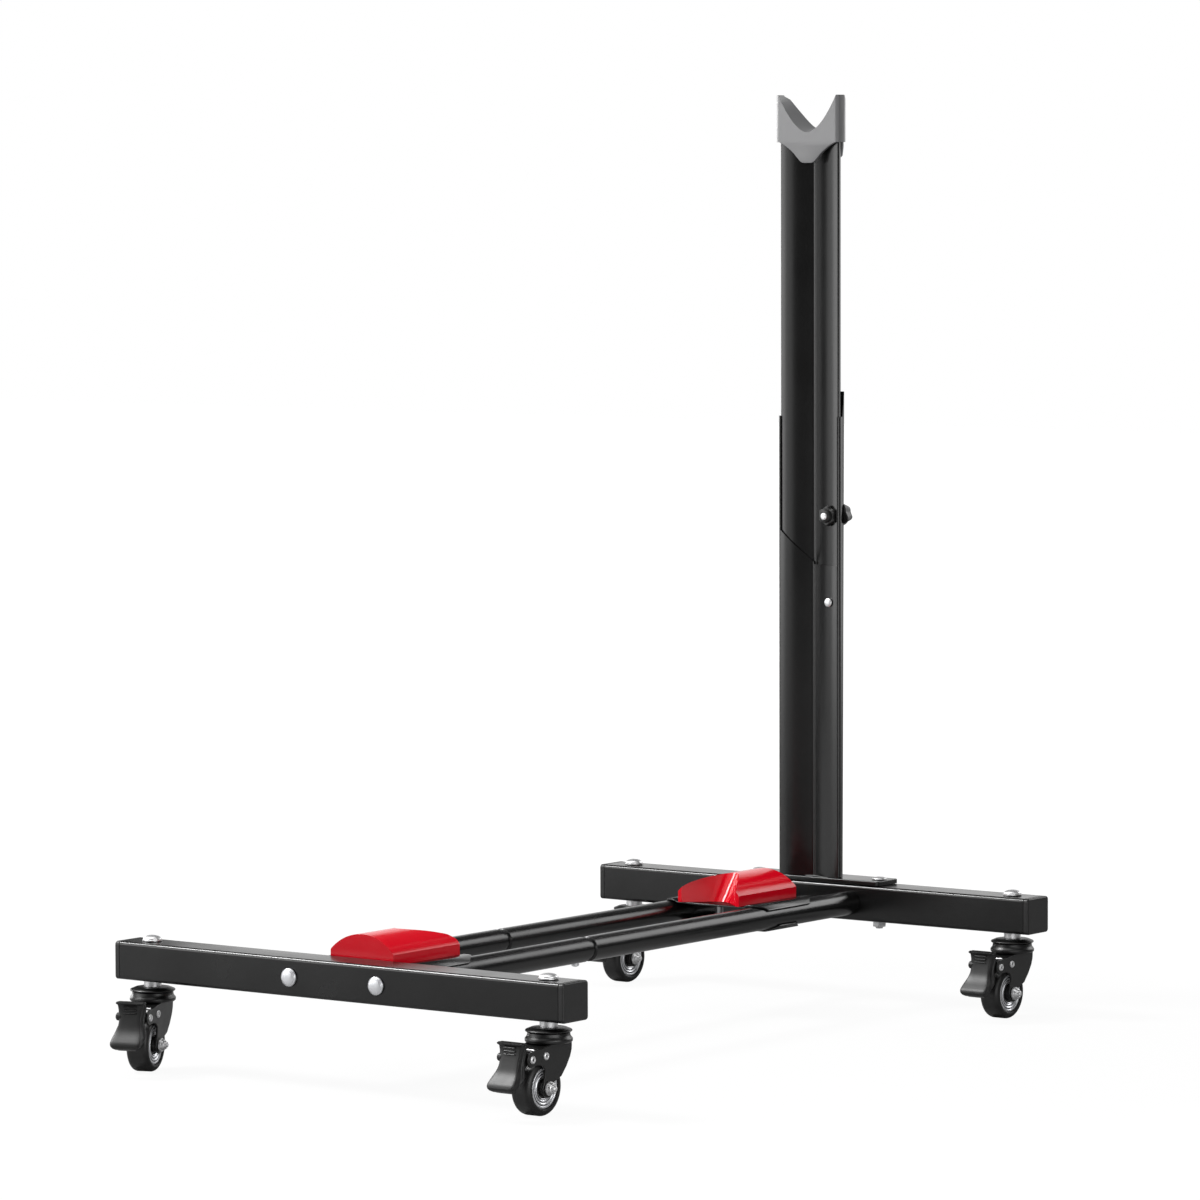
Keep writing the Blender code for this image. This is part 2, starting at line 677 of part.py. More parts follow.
def lower_section():
    half = POST_WIDTH / 2
    lip_end = half - POST_LIP
    outer = post_path(half, POST_FRONT, POST_BACK, POST_CORNER, lip_end)
    inner = post_path(
        half - POST_SHEET,
        POST_FRONT + POST_SHEET,
        POST_BACK - POST_SHEET,
        POST_CORNER - POST_SHEET,
        lip_end,
    )
    return outer + inner[::-1]


def upper_section():
    corner = POST_CORNER - POST_SHEET
    outer = post_path(UPPER_HALF, UPPER_FRONT, UPPER_BACK, corner)
    inner = post_path(UPPER_HALF - POST_SHEET, UPPER_FRONT + POST_SHEET, UPPER_BACK, corner / 3)
    return outer + inner[::-1]


def front_window(side, above):
    """Half of what is cut from the lower post's front wall, on one side of its middle."""
    wide = POST_WIDTH / 2 - FRONT_STRIP
    bend = POST_FRONT + POST_CORNER
    deep = POST_FRONT + POST_TROUGH + POST_SHEET + GAP
    narrow = wide - POST_SIDE_SLOPE * (deep - bend)
    before = POST_FRONT - POST_DEPTH
    past_middle = -side * GAP
    outline = [
        (past_middle, before),
        (side * wide, before),
        (side * wide, bend),
        (side * narrow, deep),
        (past_middle, deep),
    ]
    window = prism("window", (outline,), FRONT_EDGE_RIGHT, above)
    slant = FRONT_EDGE_SLANT / wide
    for vert in window.data.vertices:
        if side < 0 and vert.co.z < LOWER_POST_TOP:
            vert.co.z += FRONT_EDGE_STEP - slant * vert.co.x
    return window


def make_lower_post():
    top = LOWER_POST_TOP + LOWER_POST_TAB
    post = prism("lower_post", (lower_section(),), POST_BOTTOM, top)
    above = top + POST_DEPTH
    cut(post, front_window(-1, above), front_window(1, above))
    lips_front = POST_BACK - POST_SHEET - GAP
    before = (-POST_WIDTH, POST_FRONT - POST_DEPTH, LOWER_POST_TOP)
    cut(post, box("above_sides", before, (POST_WIDTH, lips_front, above)))
    behind = POST_BACK + POST_DEPTH
    cut(post, box("above_left", (-POST_WIDTH, POST_FRONT, LOWER_POST_TOP), (0, behind, above)))
    radius = CLAMP_BOLT_RADIUS + RUNNING_GAP
    slot = arc((CLAMP_OFFSET, CLAMP_HEIGHT + CLAMP_RISE), radius, 0, 180, 6)
    slot += arc((CLAMP_OFFSET, CLAMP_HEIGHT - CLAMP_DROP), radius, 180, 360, 6)
    cut(post, prism("slot", (slot,), lips_front - POST_SHEET, behind, "Y"))
    hole = rod(
        "stop_hole",
        STOP_BOLT_RADIUS + GAP,
        -POST_DEPTH,
        2 * POST_DEPTH,
        location=(STOP_BOLT_OFFSET, POST_FRONT, STOP_BOLT_HEIGHT),
        rotation=FACING["+Y"],
    )
    cut(post, hole)
    return finish(post, "black_powder_coat")


def make_stop_bolt():
    """Bolt through the lower post, which stops the upper post when it is let down."""
    head_base = -(trough(STOP_BOLT_OFFSET) - GAP - STOP_HEAD_RADIUS * POST_TROUGH / POST_WIDTH * 2)
    head_base = max(head_base, GAP)
    far = -POST_DEPTH - GAP
    profile = dome(STOP_HEAD_RADIUS, 0.0022, head_base)
    profile += [
        (STOP_BOLT_RADIUS, head_base),
        (STOP_BOLT_RADIUS, far),
        (STOP_HEAD_RADIUS, far),
        (STOP_HEAD_RADIUS, far - STOP_BOLT_RADIUS / 2),
        (0, far - STOP_BOLT_RADIUS / 2),
    ]
    place = (STOP_BOLT_OFFSET, POST_FRONT, STOP_BOLT_HEIGHT)
    bolt = turned("post_stop_bolt", profile, 14, location=place, rotation=FACING["-Y"])
    return finish(bolt, "zinc_plated_steel")


def make_upper_post():
    post = prism("upper_post", (upper_section(),), UPPER_POST_BOTTOM, UPPER_TOP)
    hole = rod(
        "clamp_hole",
        CLAMP_BOLT_RADIUS + GAP,
        -POST_DEPTH,
        POST_DEPTH,
        location=(CLAMP_OFFSET, UPPER_FRONT, CLAMP_HEIGHT),
        rotation=FACING["+Y"],
    )
    cut(post, hole)
    return finish(post, "black_powder_coat")


# Clamp of the upper post
def lobed(name, radius, end_radius, length, lobes, segments, **placing):
    """A round knob along the object's own Z axis, its wide end at Z = 0 and a lobe at +Y."""
    bm = bmesh.new()
    bmesh.ops.create_cone(
        bm, cap_ends=True, segments=segments, radius1=radius, radius2=end_radius, depth=length
    )
    for vert in bm.verts:
        turn = Vector((vert.co.x, vert.co.y)).angle_signed(Vector((1, 0)), 0)
        draw_in = 1 - LOBE_DEPTH * (1 - cos(lobes * (turn - pi / 2))) / 2
        vert.co.x *= draw_in
        vert.co.y *= draw_in
        vert.co.z += length / 2
    mesh = mesh_from_bmesh(name, bm)
    smooth(mesh, 50)
    return add_object(name, mesh, **placing)


def make_clamp():
    bore = CLAMP_BOLT_RADIUS + GAP
    nut_back = UPPER_FRONT - GAP
    nut = lobed(
        "clamp_star_nut", STAR_RADIUS, STAR_RADIUS * 0.94, STAR_THICKNESS, STAR_LOBES, 36,
        location=(CLAMP_OFFSET, nut_back, CLAMP_HEIGHT), rotation=FACING["-Y"],
    )
    hub = rod(
        "hub", STAR_HUB_RADIUS, STAR_THICKNESS / 2, STAR_THICKNESS + STAR_HUB_LENGTH, 18,
        location=nut.location, rotation=nut.rotation_euler,
    )
    fuse(nut, hub)
    cut(nut, rod("bore", bore, -STAR_THICKNESS, 4 * STAR_THICKNESS, location=nut.location, rotation=nut.rotation_euler))
    finish(nut, "black_plastic")

    knob_front = POST_BACK + GAP
    knob = lobed(
        "clamp_knob", KNOB_RADIUS, KNOB_END_RADIUS, KNOB_LENGTH, KNOB_LOBES, 30,
        location=(CLAMP_OFFSET, knob_front, CLAMP_HEIGHT), rotation=FACING["+Y"],
    )
    bevel(knob, 0.0012, 1, 45)
    socket_depth = KNOB_LENGTH * 0.7
    cut(knob, rod("socket", bore, -GAP, socket_depth, location=knob.location, rotation=knob.rotation_euler))
    finish(knob, "black_plastic")

    tip = STAR_THICKNESS + STAR_HUB_LENGTH + CLAMP_BOLT_RADIUS / 2
    back = nut_back - knob_front - socket_depth + GAP
    profile = [
        (0, tip),
        (CLAMP_BOLT_RADIUS * 0.7, tip - CLAMP_BOLT_RADIUS * 0.1),
        (CLAMP_BOLT_RADIUS, tip - CLAMP_BOLT_RADIUS * 0.4),
        (CLAMP_BOLT_RADIUS, back),
        (0, back),
    ]
    bolt = turned("clamp_bolt", profile, 16, location=nut.location, rotation=FACING["-Y"])
    finish(bolt, "zinc_plated_steel")


# Wheel cradle
def cradle_outline():
    half = UPPER_HALF + GAP + CRADLE_WALL
    bottom = (0, CRADLE_TOP - NOTCH_DEPTH + NOTCH_RADIUS)
    points = [(-half, CRADLE_SHOULDER), (half, CRADLE_SHOULDER), (half, CRADLE_TOP)]
    points.append((half - PRONG_TIP, CRADLE_TOP))
    points += arc(bottom, NOTCH_RADIUS, -40, -140, 8)
    points += [(PRONG_TIP - half, CRADLE_TOP), (-half, CRADLE_TOP)]
    return points


def make_cradle():
    front = UPPER_FRONT - CRADLE_OVERHANG - GAP
    back = UPPER_BACK + CRADLE_REAR_OVERHANG + GAP
    cradle = prism("wheel_cradle", (cradle_outline(),), front, back, "Y")
    wide = UPPER_HALF + GAP + CRADLE_WALL
    bend = UPPER_FRONT + POST_CORNER - POST_SHEET
    past = back + CRADLE_REAR_OVERHANG
    narrow = wide - POST_SIDE_SLOPE * (past - bend)
    tongue_bottom = CRADLE_SHOULDER - TONGUE_DROP
    for side in (-1, 1):
        wedge = [(side * wide, bend), (side * narrow, past), (side * 2 * wide, past), (side * 2 * wide, bend)]
        cut(cradle, prism("side_lean", (wedge,), tongue_bottom, CRADLE_TOP + CRADLE_WALL))
    bevel(cradle, 0.0016, 2, 60)

    overlap = 0.004
    half = wide - 0.002
    tongue_outline = [
        (-half, CRADLE_SHOULDER + overlap),
        (-half, CRADLE_SHOULDER),
        (-TONGUE_BEND_WIDTH / 2, CRADLE_SHOULDER - TONGUE_BEND_DROP),
        (-TONGUE_TIP_WIDTH / 2, tongue_bottom),
        (TONGUE_TIP_WIDTH / 2, tongue_bottom),
        (TONGUE_BEND_WIDTH / 2, CRADLE_SHOULDER - TONGUE_BEND_DROP),
        (half, CRADLE_SHOULDER),
        (half, CRADLE_SHOULDER + overlap),
    ]
    tongue = prism("tongue", (tongue_outline,), front + GAP, UPPER_FRONT - GAP, "Y")
    for vert in tongue.data.vertices:
        vert.co.y += max(0, CRADLE_SHOULDER - vert.co.z) * TONGUE_SLOPE
    tail_outline = [
        (-TAIL_WIDTH / 2, CRADLE_SHOULDER - TAIL_DROP),
        (TAIL_WIDTH / 2, CRADLE_SHOULDER - TAIL_DROP),
        (TAIL_WIDTH, CRADLE_SHOULDER + overlap),
        (-TAIL_WIDTH, CRADLE_SHOULDER + overlap),
    ]
    tail = prism("tail", (tail_outline,), TROUGH_BACK + GAP, back - GAP, "Y")
    fuse(cradle, tongue, tail)

    corner = POST_CORNER - POST_SHEET + GAP
    socket = post_path(UPPER_HALF + GAP, UPPER_FRONT - GAP, UPPER_BACK + GAP, corner)
    cut(cradle, prism("socket", (socket,), tongue_bottom - overlap, CRADLE_CEILING))
    room = TAIL_WIDTH * 0.42
    behind_socket = (-room, UPPER_BACK, CRADLE_SHOULDER - overlap)
    cut(cradle, box("trough_room", behind_socket, (room, TROUGH_BACK + GAP, CRADLE_CEILING)))
    finish(cradle, "grey_plastic")


# Chocks
def chock_profile():
    """The chock seen along the wheel's plane: upright side bands under an arched roof."""
    half = CHOCK_WIDTH / 2
    rise = CHOCK_RISE - CHOCK_SIDE
    radius = (half**2 + rise**2) / (2 * rise)
    spread = degrees(asin(half / radius))
    roof = arc((0, CHOCK_RISE - radius), radius, 90 - spread, 90 + spread, 14)
    return [(-half, 0), (half, 0)] + roof


def notch_loop(depth, clear):
    """The wheel notch in plan, as seen from its tips: a V with a rounded valley."""
    steps = (-1, -0.5, 0, 0.5, 1)
    valley = []
    slope = depth / CHOCK_NOTCH_HALF
    for share in steps:
        x = share * CHOCK_NOTCH_ROUND
        sag = slope * CHOCK_NOTCH_ROUND * (1 + share**2) / 2
        valley.append((x, -(depth - sag)))
    return [(-CHOCK_NOTCH_HALF, 0)] + valley + [
        (CHOCK_NOTCH_HALF, 0),
        (CHOCK_NOTCH_HALF, clear),
        (-CHOCK_NOTCH_HALF, clear),
    ]


def loft(name, low_loop, high_loop, low, high, **placing):
    """A solid between two unlike outlines of as many points, one above the other."""
    bm = bmesh.new()
    below = [bm.verts.new((u, v, low)) for u, v in low_loop]
    above = [bm.verts.new((u, v, high)) for u, v in high_loop]
    bm.faces.new(below)
    bm.faces.new(above)
    for i in range(len(below)):
        j = (i + 1) % len(below)
        bm.faces.new((below[i], below[j], above[j], above[i]))
    bmesh.ops.triangulate(bm, faces=bm.faces)
    return add_object(name, mesh_from_bmesh(name, bm), **placing)


def make_chock(name, tip, way):
    """way is 1 where the notch faces the rear, and -1 where it faces the front.

    In the chock's own frame the tips are at Y = 0 and its body lies at negative Y.
    """
    turn = (0, 0, 0 if way > 0 else pi)
    place = {"location": (0, tip, CHOCK_BOTTOM), "rotation": turn}
    chock = prism(name, (chock_profile(),), -CHOCK_LENGTH, 0, "Y", **place)
    for vert in chock.data.vertices:
        if vert.co.y < -CHOCK_LENGTH / 2:
            vert.co.y += CHOCK_END_LEAN * max(0, vert.co.z - CHOCK_SIDE) / (CHOCK_RISE - CHOCK_SIDE)
    below = 0.002
    growth = CHOCK_NOTCH_LEAN / CHOCK_RISE
    low_depth = CHOCK_NOTCH_DEPTH - growth * below
    high_depth = CHOCK_NOTCH_DEPTH + CHOCK_NOTCH_LEAN + growth * below
    notch = loft(
        "notch",
        notch_loop(low_depth, CHOCK_WIDTH),
        notch_loop(high_depth, CHOCK_WIDTH),
        -below,
        CHOCK_RISE + below,
        **place,
    )
    cut(chock, notch)
    bevel(chock, CHOCK_EDGE, 2, 30)
    for side in (-1, 1):
        x = side * CHOCK_BOLT_SPACING / 2
        socket = rod(
            "stud_socket", CHOCK_BOLT_RADIUS + GAP, -below, CHOCK_BOLT_DEPTH + GAP,
            location=(x, tip - way * CHOCK_BOLT_SETBACK, CHOCK_BOTTOM),
        )
        cut(chock, socket)
    return finish(chock, "red_plastic")


def wrapped_plate(name, stations, thickness, y_middle, way, bolt_z):
    """Pressed plate across both tubes, drawn as its right half and mirrored.

    Each station is (x, z, nearest y, farthest y), in the chock's own sense of Y.
    """
    bm = bmesh.new()
    rows = [(bm.verts.new((x, near, z)), bm.verts.new((x, far, z))) for x, z, near, far in stations]
    for (near_a, far_a), (near_b, far_b) in zip(rows, rows[1:]):
        bm.faces.new((near_a, near_b, far_b, far_a))
    mesh = bpy.data.meshes.new(name)
    bm.to_mesh(mesh)
    bm.free()
    smooth(mesh)
    turn = (0, 0, 0 if way > 0 else pi)
    plate = add_object(name, mesh, (0, y_middle, 0), turn)
    mirror = plate.modifiers.new("mirror", "MIRROR")
    mirror.use_clip = True
    mirror.merge_threshold = 1e-5
    solidify = plate.modifiers.new("sheet", "SOLIDIFY")
    solidify.thickness = thickness
    solidify.offset = 0
    solidify.use_even_offset = True
    for side in (-1, 1):
        hole = rod(
            "hole", CHOCK_BOLT_RADIUS + GAP, -2 * TUBE_RADIUS, 2 * TUBE_RADIUS,
            location=(side * CHOCK_BOLT_SPACING / 2, y_middle, bolt_z),
        )
        cut(plate, hole)
    return finish(plate, "black_powder_coat")


def tube_wrap(sign, near, far, end_cut):
    """Stations of a sheet that lies on a tube's top (sign 1) or bottom (-1) and turns down its outer side."""
    radius = TUBE_RADIUS + GAP + SADDLE_SHEET / 2
    stations = []
    for i in range(6):
        angle = radians(WRAP_ANGLE * i / 5)
        cut_back = end_cut * i / 5
        x = TUBE_X + radius * sin(angle)
        z = BAR_MIDDLE + sign * radius * cos(angle)
        stations.append((x, z, near + cut_back, far - cut_back))
    return stations


def make_chock_mount(end, tip, way):
    y_bolts = tip - way * CHOCK_BOLT_SETBACK
    near = CHOCK_BOLT_SETBACK - CHOCK_LENGTH - SADDLE_OVERHANG
    far = CHOCK_BOLT_SETBACK - SADDLE_SETBACK
    web_z = CHOCK_BOTTOM - GAP - SADDLE_SHEET / 2
    on_tube = tube_wrap(1, near, far, WRAP_END_CUT)
    bend = CHOCK_WIDTH / 2 + SADDLE_SIDE_GAP
    saddle = [(0, web_z, near, far), (bend, web_z, near, far)]
    saddle += [(bend + SADDLE_CLIMB, on_tube[0][1], near, far)] + on_tube
    wrapped_plate(f"{end}_saddle_plate", saddle, SADDLE_SHEET, y_bolts, way, web_z)

    half = CLAMP_PLATE_LENGTH / 2
    under_tube = tube_wrap(-1, -half, half, WRAP_END_CUT)
    clamp = [(0, under_tube[0][1], -half, half)] + under_tube
    plate_z = under_tube[0][1]
    wrapped_plate(f"{end}_clamp_plate", clamp, SADDLE_SHEET, y_bolts, way, plate_z)

    nut_top = plate_z - SADDLE_SHEET / 2 - GAP
    end_z = nut_top - NUT_HEIGHT - THREAD_SHOWN
    for side, word in ((-1, "left"), (1, "right")):
        place = (side * CHOCK_BOLT_SPACING / 2, y_bolts, 0)
        stud_top = CHOCK_BOTTOM + CHOCK_BOLT_DEPTH
        bolt = rod(f"{end}_clamp_bolt_{word}", CHOCK_BOLT_RADIUS, end_z, stud_top, location=place)
        add_nut(bolt, nut_top, place)
        finish(bolt, "zinc_plated_steel")


def make_chocks():
    front_tip = FRONT_Y + BAR_DEPTH / 2 + FRONT_CHOCK_CLEARANCE + CHOCK_LENGTH
    rear_tip = REAR_Y - BAR_DEPTH / 2 - REAR_CHOCK_CLEARANCE - CHOCK_LENGTH
    for end, tip, way in (("front", front_tip, 1), ("rear", rear_tip, -1)):
        make_chock(f"{end}_chock", tip, way)
        make_chock_mount(end, tip, way)


# Casters, each in a frame with its stem axis at X = Y = 0 and the floor at Z = 0
def make_stem(where, frame):
    """Stem with its domed nut, collar and bearing race, riveted through the fork's crown."""
    top = BAR_TOP + GAP
    collar_top = BAR_UNDERSIDE - GAP
    race_bottom = CASTER_HEIGHT - RACE_HEIGHT
    rivet_top = race_bottom - GAP - CROWN_HEIGHT - GAP
    profile = dome(STEM_HEAD_RADIUS, STEM_HEAD_HEIGHT, top)
    profile += [
        (STEM_RADIUS, top),
        (STEM_RADIUS, collar_top),
        (STEM_COLLAR_RADIUS, collar_top),
        (STEM_COLLAR_RADIUS, CASTER_HEIGHT),
        (RACE_RADIUS - 0.0025, CASTER_HEIGHT - 0.0010),
        (RACE_RADIUS, CASTER_HEIGHT - 0.0025),
        (RACE_RADIUS, race_bottom),
        (STEM_RADIUS, race_bottom),
        (STEM_RADIUS, rivet_top),
        (STEM_RIVET_RADIUS, rivet_top),
        (STEM_RIVET_RADIUS, rivet_top - STEM_RIVET_HEIGHT),
        (0, rivet_top - STEM_RIVET_HEIGHT),
    ]
    finish(turned(f"caster_stem_{where}", profile, 16, parent=frame), "zinc_plated_steel")


def fork_outline():
    """A side plate of the fork, in (Y, Z): crown, tapering leg, axle boss and brake arm."""
    axle = (-WHEEL_TRAIL, AXLE_HEIGHT)
    pivot = (axle[0] - PEDAL_PIVOT_REACH, axle[1] + PEDAL_PIVOT_RISE)
    crown_middle = CASTER_HEIGHT - RACE_HEIGHT - GAP - CROWN_HEIGHT / 2
    points = [(0.0155, crown_middle), (0.0160, crown_middle - 0.011), (0.0120, crown_middle - 0.022)]
    points += arc(axle, FORK_BOSS_RADIUS, 38, -212, 8)
    points += [(-0.0275, AXLE_HEIGHT + 0.0185), (-0.0340, AXLE_HEIGHT + 0.0235)]
    points += arc(pivot, 0.0075, 265, 95, 4)
    points += [(-0.0350, crown_middle - 0.0070), (-0.0155, crown_middle - 0.0020)]
    return points


def make_fork(where, frame):
    top = CASTER_HEIGHT - RACE_HEIGHT - GAP
    bottom = top - CROWN_HEIGHT
    bore = STEM_RADIUS + RUNNING_GAP
    profile = [
        (bore, top),
        (CROWN_WAIST_RADIUS, top),
        (CROWN_WAIST_RADIUS, top - 0.0025),
        (CROWN_RADIUS, top - 0.0055),
        (CROWN_RADIUS, bottom),
        (bore, bottom),
    ]
    fork = turned(f"caster_fork_{where}", profile, 20, ring=True, parent=frame)
    for side in (-1, 1):
        faces = sorted((side * FORK_INNER_HALF, side * (FORK_INNER_HALF + FORK_SHEET)))
        fuse(fork, prism("plate", (fork_outline(),), faces[0], faces[1], "X", parent=frame))
    axle_hole = rod(
        "hole", AXLE_RADIUS + RUNNING_GAP, -2 * FORK_INNER_HALF, 2 * FORK_INNER_HALF, 14,
        location=(0, -WHEEL_TRAIL, AXLE_HEIGHT), rotation=FACING["+X"], parent=frame,
    )
    cut(fork, axle_hole)
    fuse(fork, *[riveted_pin(y, z, frame) for y, z in pin_places()])
    finish(fork, "black_powder_coat")


def pin_places():
    """Brake pedal's pivot and stop pin, riveted across the fork: (Y, Z)."""
    return (
        (-WHEEL_TRAIL - PEDAL_PIVOT_REACH, AXLE_HEIGHT + PEDAL_PIVOT_RISE),
        (-WHEEL_TRAIL - STOP_PIN_REACH, AXLE_HEIGHT + STOP_PIN_RISE),
    )


def riveted_pin(y, z, frame):
    outside = FORK_INNER_HALF + FORK_SHEET
    root = FORK_INNER_HALF + FORK_SHEET / 2
    head = [
        (0, outside + PIN_HEAD_HEIGHT),
        (PIN_HEAD_RADIUS, outside + PIN_HEAD_HEIGHT / 2),
        (PIN_HEAD_RADIUS, root),
        (PIN_RADIUS, root),
    ]
    profile = head + [(r, -h) for r, h in reversed(head)]
    return turned("pin", profile, 8, location=(0, y, z), rotation=FACING["+X"], parent=frame)


def make_axle(where, frame):
    outside = FORK_INNER_HALF + FORK_SHEET + GAP
    profile = dome(AXLE_NUT_RADIUS, AXLE_NUT_LENGTH, outside)
    profile += [
        (AXLE_RADIUS, outside),
        (AXLE_RADIUS, -outside),
        (AXLE_NUT_RADIUS, -outside),
        (AXLE_NUT_RADIUS, -outside - AXLE_HEAD_LENGTH),
        (0, -outside - AXLE_HEAD_LENGTH),
    ]
    place = {"location": (0, -WHEEL_TRAIL, AXLE_HEIGHT), "rotation": FACING["+X"], "parent": frame}
    finish(turned(f"caster_axle_{where}", profile, 12, **place), "zinc_plated_steel")


def make_wheel(where, frame):
    at_axle = {"location": (0, -WHEEL_TRAIL, AXLE_HEIGHT), "rotation": FACING["-X"], "parent": frame}
    bore = HUB_RADIUS / cos(pi / WHEEL_SIDES) + GAP
    shoulder = TYRE_HALF_WIDTH - 0.0008
    side = [(bore, TYRE_HALF_WIDTH), (WHEEL_RADIUS - 0.0040, shoulder)]
    half = side + [(WHEEL_RADIUS - 0.0012, (TREAD_HALF_WIDTH + shoulder) / 2 + 0.0008), (WHEEL_RADIUS, TREAD_HALF_WIDTH)]
    profile = half + [(r, -h) for r, h in reversed(half)]
    tyre = turned(f"caster_tyre_{where}", profile, WHEEL_SIDES, ring=True, half_step=True, **at_axle)
    finish(tyre, "black_polyurethane")

    hub_half = FORK_INNER_HALF - HUB_SIDE_GAP
    face = TYRE_HALF_WIDTH - 0.0012
    axle_bore = AXLE_RADIUS + RUNNING_GAP
    half = [
        (axle_bore, hub_half),
        (0.0070, hub_half),
        (0.0075, face - 0.0018),
        (HUB_RADIUS - 0.0030, face - 0.0018),
        (HUB_RADIUS - 0.0022, face),
        (HUB_RADIUS, face),
    ]
    profile = half + [(r, -h) for r, h in reversed(half)]
    hub = turned(f"caster_hub_{where}", profile, 16, ring=True, **at_axle)
    finish(hub, "zinc_plated_steel")


def pedal_front():
    """Outer line of the brake pedal from its top lip to its lower lip, in (Y, Z)."""
    reach = -PEDAL_REACH
    pivot_z = AXLE_HEIGHT + PEDAL_PIVOT_RISE
    lip = arc((reach + 0.0060, pivot_z - 0.0225), 0.0060, 150, 290, 5)
    return [
        (reach + 0.0260, pivot_z + 0.0175),
        (reach + 0.0175, pivot_z + 0.0165),
        (reach + 0.0160, pivot_z + 0.0110),
        (reach + 0.0140, pivot_z + 0.0035),
        (reach + 0.0105, pivot_z - 0.0085),
        (reach + 0.0055, pivot_z - 0.0150),
    ] + lip


def pedal_back():
    """The flanges' rear edge, from the bottom up and round the pivot."""
    pivot = (-WHEEL_TRAIL - PEDAL_PIVOT_REACH, AXLE_HEIGHT + PEDAL_PIVOT_RISE)
    reach = -PEDAL_REACH
    edge = [(reach + 0.0190, pivot[1] - 0.0235), (reach + 0.0240, pivot[1] - 0.0190)]
    edge += [(reach + 0.0245, pivot[1] - 0.0100)]
    return edge + arc(pivot, 0.0048, -110, 80, 6)


def make_pedal(where, frame):
    outline = pedal_front() + pedal_back()
    pivot = (0, -WHEEL_TRAIL - PEDAL_PIVOT_REACH, AXLE_HEIGHT + PEDAL_PIVOT_RISE)
    local = [(y - pivot[1], z - pivot[2]) for y, z in outline]
    place = {"location": pivot, "parent": frame}
    pedal = prism(f"caster_brake_{where}", (local,), -PEDAL_HALF_WIDTH, PEDAL_HALF_WIDTH, "X", **place)
    inside = PEDAL_HALF_WIDTH - PEDAL_SHEET
    behind = [(y - pivot[1] + PEDAL_SHEET, z - pivot[2]) for y, z in pedal_front()]
    behind[0] = (behind[0][0] + PEDAL_SHEET, behind[0][1] - PEDAL_SHEET)
    behind[1] = (behind[1][0], behind[1][1] - PEDAL_SHEET)
    behind[-1] = (behind[-1][0], behind[-1][1] + PEDAL_SHEET)
    behind += [(0.0200, behind[-1][1]), (0.0200, behind[0][1])]
    cut(pedal, prism("hollow", (behind,), -inside, inside, "X", **place))
    hole = rod(
        "hole", PIN_RADIUS + RUNNING_GAP, -2 * PEDAL_HALF_WIDTH, 2 * PEDAL_HALF_WIDTH, 14,
        location=pivot, rotation=FACING["+X"], parent=frame,
    )
    cut(pedal, hole)
    finish(pedal, "black_plastic")


def make_casters():
    for where, (x, y) in SWIVEL_PLACES.items():
        turn = (0, 0, radians(SWIVEL_ANGLES[where]))
        frame = add_object(f"caster_swivel_{where}", None, (x, y, 0), turn)
        make_stem(where, frame)
        make_fork(where, frame)
        make_axle(where, frame)
        make_wheel(where, frame)
        make_pedal(where, frame)


def main():
    clear_scene()
    make_crossbars()
    make_tubes()
    make_post_base()
    make_lower_post()
    make_stop_bolt()
    make_upper_post()
    make_clamp()
    make_cradle()
    make_chocks()
    make_casters()


if __name__ == "__main__":
    main()
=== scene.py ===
"""Dresses the bicycle rack: finished pieces round its frame, materials, light and camera.

Sizes are in metres, in the frame's own place: +Z up, +X along the crossbars, and the
post at +Y. Each operator builds one group of pieces, from the sizes in the scene's
property groups and from the places that the frame gives.
"""

import json
from math import asin, atan2, cos, degrees, pi, radians, sin, sqrt

import bmesh
import bpy
from bpy.props import FloatProperty, FloatVectorProperty, PointerProperty
from bpy.types import Operator, Panel, PropertyGroup
from mathutils import Euler, Matrix, Vector


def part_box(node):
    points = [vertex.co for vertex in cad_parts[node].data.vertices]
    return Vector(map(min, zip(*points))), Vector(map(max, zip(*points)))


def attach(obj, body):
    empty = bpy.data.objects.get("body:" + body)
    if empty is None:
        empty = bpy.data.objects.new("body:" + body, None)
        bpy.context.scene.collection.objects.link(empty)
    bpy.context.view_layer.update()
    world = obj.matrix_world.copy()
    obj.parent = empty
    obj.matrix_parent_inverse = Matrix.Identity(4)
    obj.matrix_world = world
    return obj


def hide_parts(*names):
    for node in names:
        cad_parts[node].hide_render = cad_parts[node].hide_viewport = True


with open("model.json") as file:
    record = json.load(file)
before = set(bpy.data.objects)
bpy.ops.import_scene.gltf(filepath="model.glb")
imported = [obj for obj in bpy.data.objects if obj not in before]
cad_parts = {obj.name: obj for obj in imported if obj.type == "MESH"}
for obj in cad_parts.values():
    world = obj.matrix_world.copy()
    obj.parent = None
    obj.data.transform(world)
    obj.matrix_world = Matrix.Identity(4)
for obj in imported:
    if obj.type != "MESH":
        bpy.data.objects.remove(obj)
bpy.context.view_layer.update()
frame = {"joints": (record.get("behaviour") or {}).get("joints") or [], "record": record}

bl_info = {
    "name": "Bicycle rack dresser",
    "version": (1, 0, 0),
    "blender": (4, 5, 0),
    "location": "3D View > Sidebar > Rack",
    "description": "Builds the finished pieces of a rolling bicycle rack round its frame",
    "category": "Object",
}

